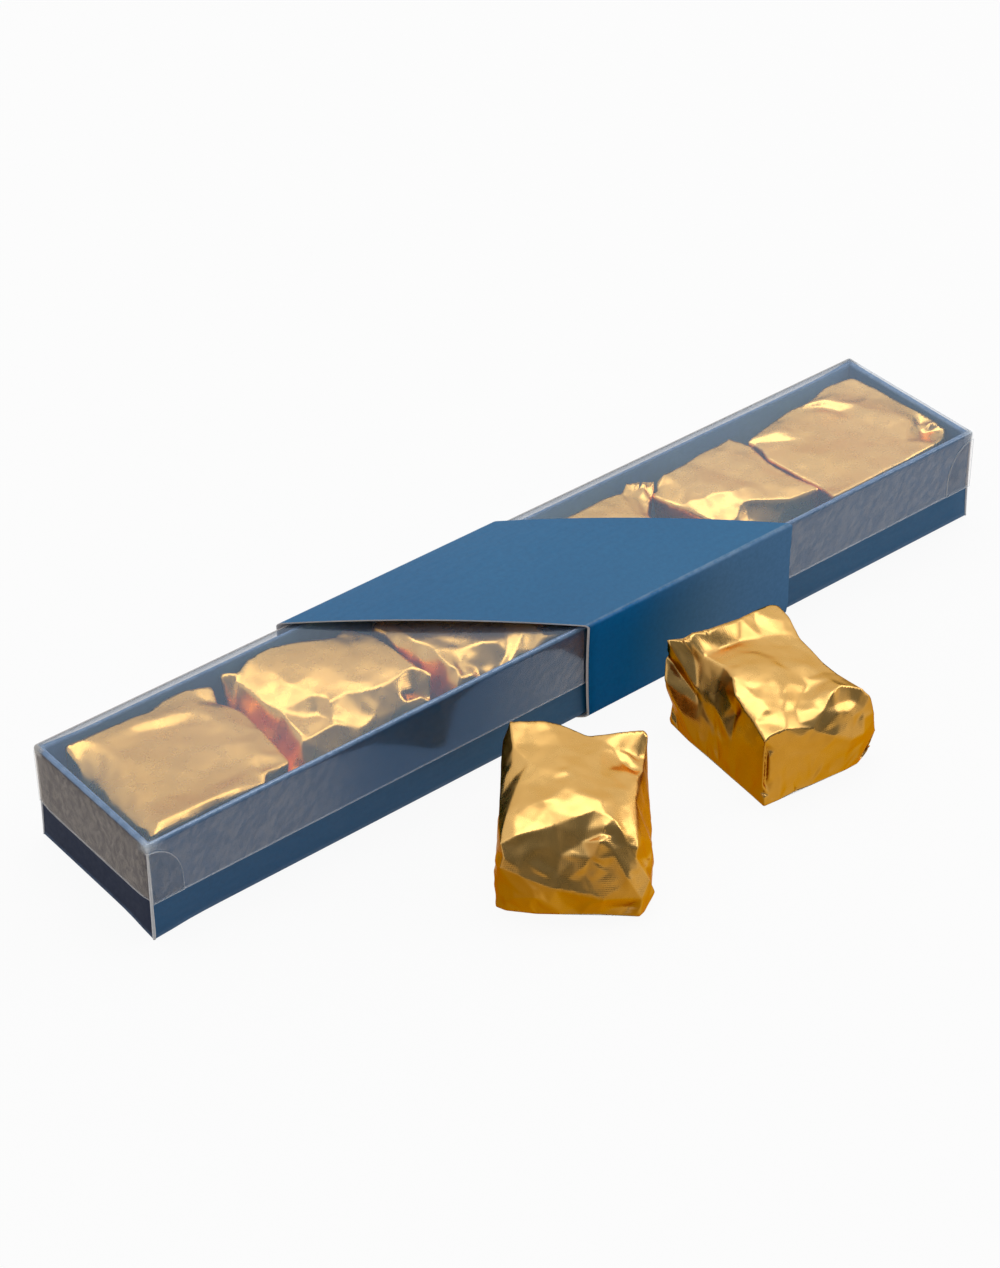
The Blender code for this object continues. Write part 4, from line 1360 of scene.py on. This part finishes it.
def smooth_sheet(points, triangles, lines, pinned):
    """Rounds off the sheet, but holds its folds as far as their strength says."""
    tri = np.array(triangles)
    pairs = np.vstack([tri[:, [0, 1]], tri[:, [1, 2]], tri[:, [2, 0]]])
    pairs = np.unique(np.sort(pairs, 1), axis=0)
    fold_pairs = np.array([(a, b) for a, b, _ in lines])
    fold_strength = np.array([s for _, _, s in lines])
    ones = np.ones(len(points))
    degree = np.maximum(neighbour_sum(ones, pairs), 1)
    fold_count = neighbour_sum(ones, fold_pairs)
    strength = np.zeros(len(points))
    for side in (0, 1):
        np.maximum.at(strength, fold_pairs[:, side], fold_strength)
    strength = np.where(fold_count == 1, strength * FOLD_END_SHARE, strength)[:, None]
    points = points.copy()
    for _ in range(SMOOTH_ROUNDS):
        around = neighbour_sum(points, pairs) / degree[:, None] - points
        along = neighbour_sum(points, fold_pairs) / np.maximum(fold_count, 1)[:, None] - points
        along[fold_count != 2] = 0
        step = (1 - strength) * around + strength * along
        step[fold_count > 2] *= FOLD_CROSSING_SHARE
        step[pinned, 2] = 0
        points += SMOOTH_STEP * step
    return points


def sheet_normals(points, triangles):
    tri = np.array(triangles)
    a, b, c = (points[tri[:, i]] for i in range(3))
    face = np.cross(b - a, c - a)
    normals = np.zeros_like(points)
    for i in range(3):
        np.add.at(normals, tri[:, i], face)
    return normals / np.maximum(np.linalg.norm(normals, axis=1), NO_AREA)[:, None]


def crumple(points, normals, weights, calm, seed):
    """Creases and pillows of crumpled foil, in millimetres along the surface's normal."""
    moves = np.zeros(len(points))
    shift = Vector((seed * 17.3, seed * 5.1, seed * 9.7))
    for i, point in enumerate(points):
        where = Vector(point) + shift
        broad = noise.noise(where * BROAD_PITCH)
        crease = noise.noise(where * PILLOW_PITCH + Vector((40, 0, 0)))
        pillow = math.hypot(crease, PILLOW_CREASE) - PILLOW_CREASE
        small = noise.noise(where * SMALL_PITCH + Vector((0, 70, 0)))
        patch = noise.noise(where * GATE_PITCH + Vector((0, 0, 90)))
        gate = min(1.0, max(0.0, 0.5 + GATE_STEEPNESS * patch))
        weight = weights[i]
        moves[i] = BROAD * broad * (BROAD_LEAST + BROAD_MORE * weight) * calm[i]
        moves[i] -= PILLOW * pillow * weight * (PILLOW_LEAST + PILLOW_MORE * gate)
        moves[i] -= SMALL * small * weight * gate
    return points + normals * moves[:, None]


def mark_sheet(obj, middle, turn, top):
    """Where each point lies on the flat foil, in mm: down the sides it goes on outwards."""
    data = obj.data
    co = np.zeros(len(data.vertices) * 3)
    data.vertices.foreach_get("co", co)
    co = co.reshape(-1, 3) * IN_A_METRE
    away = co[:, :2] - middle
    c, s = math.cos(turn), math.sin(turn)
    local = np.stack([c * away[:, 0] + s * away[:, 1], -s * away[:, 0] + c * away[:, 1]], 1)
    reach = np.maximum(np.abs(local).max(1), 1e-3)
    drop = np.maximum(top - co[:, 2], 0)
    flat = local * (1 + drop / reach)[:, None]
    layer = data.attributes.new("sheet", "FLOAT_VECTOR", "POINT")
    layer.data.foreach_set("vector", np.column_stack([flat, np.zeros(len(co))]).ravel())


def foot_ring(corners):
    """The foot's outline with points about every step, from its corner points in order."""
    ring = []
    for a, b in zip(corners, corners[1:] + corners[:1]):
        a, b = np.array(a, float), np.array(b, float)
        cuts = max(1, round(np.linalg.norm(b - a) / FOOT_STEP))
        ring += [a + (b - a) * cut / cuts for cut in range(cuts)]
    return np.array(ring)


def add_walls(parcel, foot, centre):
    """Rings of points up the parcel's walls. Returns the numbers of the lowest one's points."""
    out = foot - centre
    out /= np.linalg.norm(out, axis=1)[:, None]
    ring = []
    for level, (rise, bulge) in enumerate(WALL_RINGS):
        for i, (spot, way) in enumerate(zip(foot, out)):
            share = i / len(foot)
            if level and any(low <= share < high for low, high in parcel.bare[level - 1]):
                continue
            shake = noise.noise(Vector((i * 0.9, level * 3.1, parcel.seed * 7.7)))
            wobble = FOOT_WOBBLE * shake
            u, v = spot + way * (bulge + wobble * (level > 0))
            if level == 0:
                ring.append(len(parcel.points))
            parcel.keep(f"w{level}_{i}", (u, v, parcel.base + rise), FOOT_WEIGHT)
    return ring


def make_foil(parcel, finish):
    """One parcel's foil from its table of points and folds."""
    base, opening, seed = parcel.base, parcel.opening, parcel.seed
    foot = foot_ring(parcel.foot)
    centre = foot.mean(0)
    ring = add_walls(parcel, foot, centre)
    names, places, weights = zip(*parcel.points)
    index = {name: i for i, name in enumerate(names)}
    folds = [(strength, [index[name] for name in path]) for strength, path in parcel.folds]
    middle = parcel.place((*centre, 0.0))[:2]
    places, weights = add_facets(
        np.array(places), np.array(weights), folds, ring, middle, opening, seed
    )
    points, triangles, weights, lines = fine_sheet(places, weights, folds, ring, middle, opening)
    pinned = np.abs(points[:, 2] - base) < TINY
    points = smooth_sheet(points, triangles, lines, pinned)
    normals = sheet_normals(points, triangles)
    calm = np.clip((points[:, 2] - base) / CALM_HEIGHT, 0, 1)
    points = crumple(points, normals, weights * calm, calm, seed)
    points[:, 2] = np.maximum(points[:, 2], base)
    if parcel.inside:
        points[:, 2] = np.minimum(points[:, 2], LID_TOP - FILM - LID_CLEARANCE)
    foil = foil_object(f"foil_{parcel.label}", finish, points, triangles, base, middle)
    mark_sheet(foil, middle, parcel.turn, points[:, 2].max())
    return foil


def foil_object(name, finish, points, triangles, base, middle):
    """Closes the sheet under its base, with the folded foil drawn in and up a little."""
    data = bpy.data.meshes.new(name)
    mesh = bmesh.new()
    verts = [mesh.verts.new([mm(c) for c in p]) for p in points]
    used = set()
    for tri in triangles:
        if frozenset(tri) not in used:
            mesh.faces.new([verts[i] for i in tri])
            used.add(frozenset(tri))
    loose = [v for v in mesh.verts if not v.link_faces]
    bmesh.ops.delete(mesh, geom=loose, context="VERTS")
    for share, rise in UNDER_RINGS:
        rim = [e for e in mesh.edges if e.is_boundary]
        grown = bmesh.ops.extrude_edge_only(mesh, edges=rim)["geom"]
        for v in (g for g in grown if isinstance(g, bmesh.types.BMVert)):
            v.co.x = mm(middle[0]) + (v.co.x - mm(middle[0])) * share
            v.co.y = mm(middle[1]) + (v.co.y - mm(middle[1])) * share
            v.co.z = mm(base + rise)
    rim = [e for e in mesh.edges if e.is_boundary]
    bmesh.ops.contextual_create(mesh, geom=rim)
    bmesh.ops.recalc_face_normals(mesh, faces=mesh.faces)
    mesh.to_mesh(data)
    mesh.free()
    data.materials.append(finish)
    data.shade_smooth()
    return link_object(name, data)


# Stage and light
STAGE_HALF = 3000.0
STAGE_WHITE_SHARE = 0.93
STAGE_GREYS = rgb(0.62, 0.62, 0.62), rgb(0.65, 0.65, 0.65)
WHITE = rgb(1, 1, 1)
# The way to the middle of the room's dim side: in front of the box, a little up
DIM_SIDE = (-0.16, -0.88, 0.45)
DIM_RANGE = (0.36, 0.72)
DIM_ROOM = rgb(0.20, 0.215, 0.23)
LOW_ROOM = rgb(1.0, 0.97, 0.94)
HIGH_ROOM = rgb(0.90, 0.92, 0.95)
HIGH_RANGE = (0.0, 0.95)
ROOM_STRENGTH = 0.88
# Each lamp: place and size in metres, watts and colour
LAMPS = (
    ("overhead", (0.20, 0.30, 1.6), (1.5, 1.1), 10.0, (1.0, 0.985, 0.96)),
    ("side", (1.3, -0.5, 0.8), (0.8, 0.8), 5.0, (1.0, 0.97, 0.93)),
)


def stage_finish():
    """The pale floor: white to the camera, but it keeps the object's soft shadow."""
    m = Finish("stage_floor")
    path = m.add("ShaderNodeLightPath")
    rays = m.maths("ADD", path.outputs["Is Camera Ray"], path.outputs["Is Glossy Ray"])
    rays = m.maths("ADD", rays, path.outputs["Is Transmission Ray"], clamp=True)
    share = m.maths("MULTIPLY", rays, STAGE_WHITE_SHARE)
    colour = m.blend(m.noise(m.place(), scale=60.0), *STAGE_GREYS)
    matt = m.add("ShaderNodeBsdfDiffuse", Color=colour)
    return m.done(m.mix(share, matt, m.add("ShaderNodeEmission", Color=WHITE, Strength=1.0)))


def add_stage():
    half = STAGE_HALF
    points = [(-half, -half, 0), (half, -half, 0), (half, half, 0), (-half, half, 0)]
    floor = mesh_object("stage_floor", points, [(0, 1, 2, 3)], [stage_finish()], smooth=False)


def add_world():
    """A pale room, white to the camera, dimmer on the side that the camera stands on."""
    world = bpy.data.worlds.new("studio")
    world.use_nodes = True
    m = Nodes(world.node_tree, "ShaderNodeOutputWorld")
    way = m.add("ShaderNodeTexCoord").outputs["Generated"]
    back = Vector(DIM_SIDE).normalized()
    toward = m.add("ShaderNodeVectorMath", {"operation": "DOT_PRODUCT"}, i0=way, i1=back)
    dim = m.spread(toward.outputs["Value"], DIM_RANGE)
    room = m.blend(m.spread(m.split(way)[2], HIGH_RANGE), LOW_ROOM, HIGH_ROOM)
    room = m.blend(dim, room, DIM_ROOM)
    lit = m.add("ShaderNodeBackground", Color=room, Strength=ROOM_STRENGTH)
    white = m.add("ShaderNodeBackground", Color=WHITE)
    m.done(m.mix(m.add("ShaderNodeLightPath").outputs["Is Camera Ray"], lit, white))
    bpy.context.scene.world = world


def add_lamp(name, place, size, watts, colour):
    """A square lamp that shines at the origin."""
    data = bpy.data.lights.new(name, "AREA")
    data.shape = "RECTANGLE"
    data.size, data.size_y = size
    data.energy = watts
    data.color = colour
    lamp = link_object(name, data)
    lamp.location = place
    lamp.rotation_euler = (-Vector(place)).to_track_quat("-Z", "Y").to_euler()


# Colours of the card and the foil, with painted light and shade among them
# The tray's paler folds: wear, and on the rim a painted highlight
WORN_AND_HIGHLIGHT_BLUE = (0.150, 0.255, 0.430)
WORN_WHITE = (0.36, 0.47, 0.60)
# The tray's far wall inside is lightened: painted light
INSIDE_PAINTED_LIGHT_BLUE = (0.20, 0.44, 0.80)
TRAY_BLUES = (0.008, 0.108, 0.25), (0.006, 0.088, 0.215)
# The tray's end walls: the same card made darker, a painted shade
TRAY_END_PAINTED_SHADE_BLUES = (0.027, 0.035, 0.064), (0.022, 0.029, 0.057)
SLEEVE_BLUES = (0.012, 0.125, 0.275), (0.009, 0.108, 0.250)
# The sleeve's upright sides: a duller copy of the card, with painted shade that fades along x
SLEEVE_SIDE_PAINTED_SHADE_BLUES = (0.094, 0.240, 0.460), (0.0, 0.155, 0.430)
SLEEVE_SIDE_PAINTED_SHADE_SPAN = (10, 44)
# Foil golds by the way a face turns: painted light on tops, painted shade on upright faces
PAINTED_LIGHT_TOP_GOLDS = rgb(0.74, 0.435, 0.135), rgb(0.80, 0.49, 0.17)
PAINTED_SHADE_SIDE_GOLDS = rgb(0.50, 0.225, 0.022), rgb(0.62, 0.30, 0.042)
PAINTED_SHADE_DEEP_GOLD = rgb(0.33, 0.13, 0.005)
# The boxed parcels' golds are a lighter copy: painted light, paling further along x
PAINTED_LIGHT_BOXED_TOP_GOLDS = rgb(0.80, 0.473, 0.127), rgb(0.97, 0.60, 0.185)
PAINTED_LIGHT_BOXED_SIDE_GOLDS = rgb(0.86, 0.40, 0.07), rgb(0.95, 0.50, 0.11)
PAINTED_LIGHT_BOXED_DEEP_GOLD = rgb(0.90, 0.42, 0.075)
BOXED_PAINTED_LIGHT_SPAN = (-110, 110)


def dress_box(core):
    """The tray and the lid."""
    # The inside tint is painted light on the far wall's inside
    tints = (("inside", INSIDE_PAINTED_LIGHT_BLUE),)
    blue = card_finish("blue_card", *TRAY_BLUES, WORN_AND_HIGHLIGHT_BLUE, gloss=0.46, shine=0.36, tints=tints)
    # The end walls' copy of the card is darker and duller: painted shade
    painted_shade_end_blue = card_finish("blue_card_end_painted_shade", *TRAY_END_PAINTED_SHADE_BLUES, WORN_AND_HIGHLIGHT_BLUE, gloss=0.55, shine=0.05)
    tray, strips = make_tray(blue, painted_shade_end_blue, core)
    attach(tray, "box")
    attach(strips, "box")
    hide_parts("tray")

    lid, ears = make_lid(film_finish())
    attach(lid, "box")
    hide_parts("lid")
    for ear in ears:
        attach(ear, "box")


def dress_sleeve(core):
    blue = card_finish("sleeve_card", *SLEEVE_BLUES, WORN_WHITE, gloss=0.44, shine=0.36, patchy=0.4)
    front = SLEEVE_MIDDLE + SLEEVE_SLANT / 2 - SLEEVE_PANEL / 2
    # The sides' copy of the card carries painted shade, dark at the left
    painted_shade_side_blue = card_finish(
        "sleeve_card_side_painted_shade", *SLEEVE_SIDE_PAINTED_SHADE_BLUES, WORN_WHITE, gloss=0.50, shine=0.05, patchy=0.4,
        along=[front + place for place in SLEEVE_SIDE_PAINTED_SHADE_SPAN],
    )
    sleeve = make_sleeve(blue, painted_shade_side_blue, core)
    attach(sleeve, "sleeve")
    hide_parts("sleeve")


def dress_parcels():
    """Each parcel's foil, and the glaze on the chestnut inside it."""
    gold = foil_finish("gold_foil", PAINTED_LIGHT_TOP_GOLDS, PAINTED_SHADE_SIDE_GOLDS, PAINTED_SHADE_DEEP_GOLD)
    # The boxed parcels take the lighter copy of the gold: painted light
    painted_light_boxed_gold = foil_finish(
        "gold_foil_boxed_painted_light", PAINTED_LIGHT_BOXED_TOP_GOLDS, PAINTED_LIGHT_BOXED_SIDE_GOLDS, PAINTED_LIGHT_BOXED_DEEP_GOLD, BOXED_PAINTED_LIGHT_SPAN
    )
    candy = candy_finish()
    for parcel in PARCELS:
        foil = make_foil(parcel, painted_light_boxed_gold if parcel.inside else gold)
        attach(foil, parcel.body)
        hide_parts(f"wrapper_{parcel.label}")
        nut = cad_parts[f"chestnut_{parcel.label}"]
        nut.data.materials.clear()
        nut.data.materials.append(candy)


def main():
    add_camera()
    core = cut_edge_finish()
    dress_box(core)
    dress_sleeve(core)
    dress_parcels()
    add_stage()
    add_world()
    for lamp in LAMPS:
        add_lamp(*lamp)
    bpy.context.scene.view_settings.view_transform = "Standard"


main()
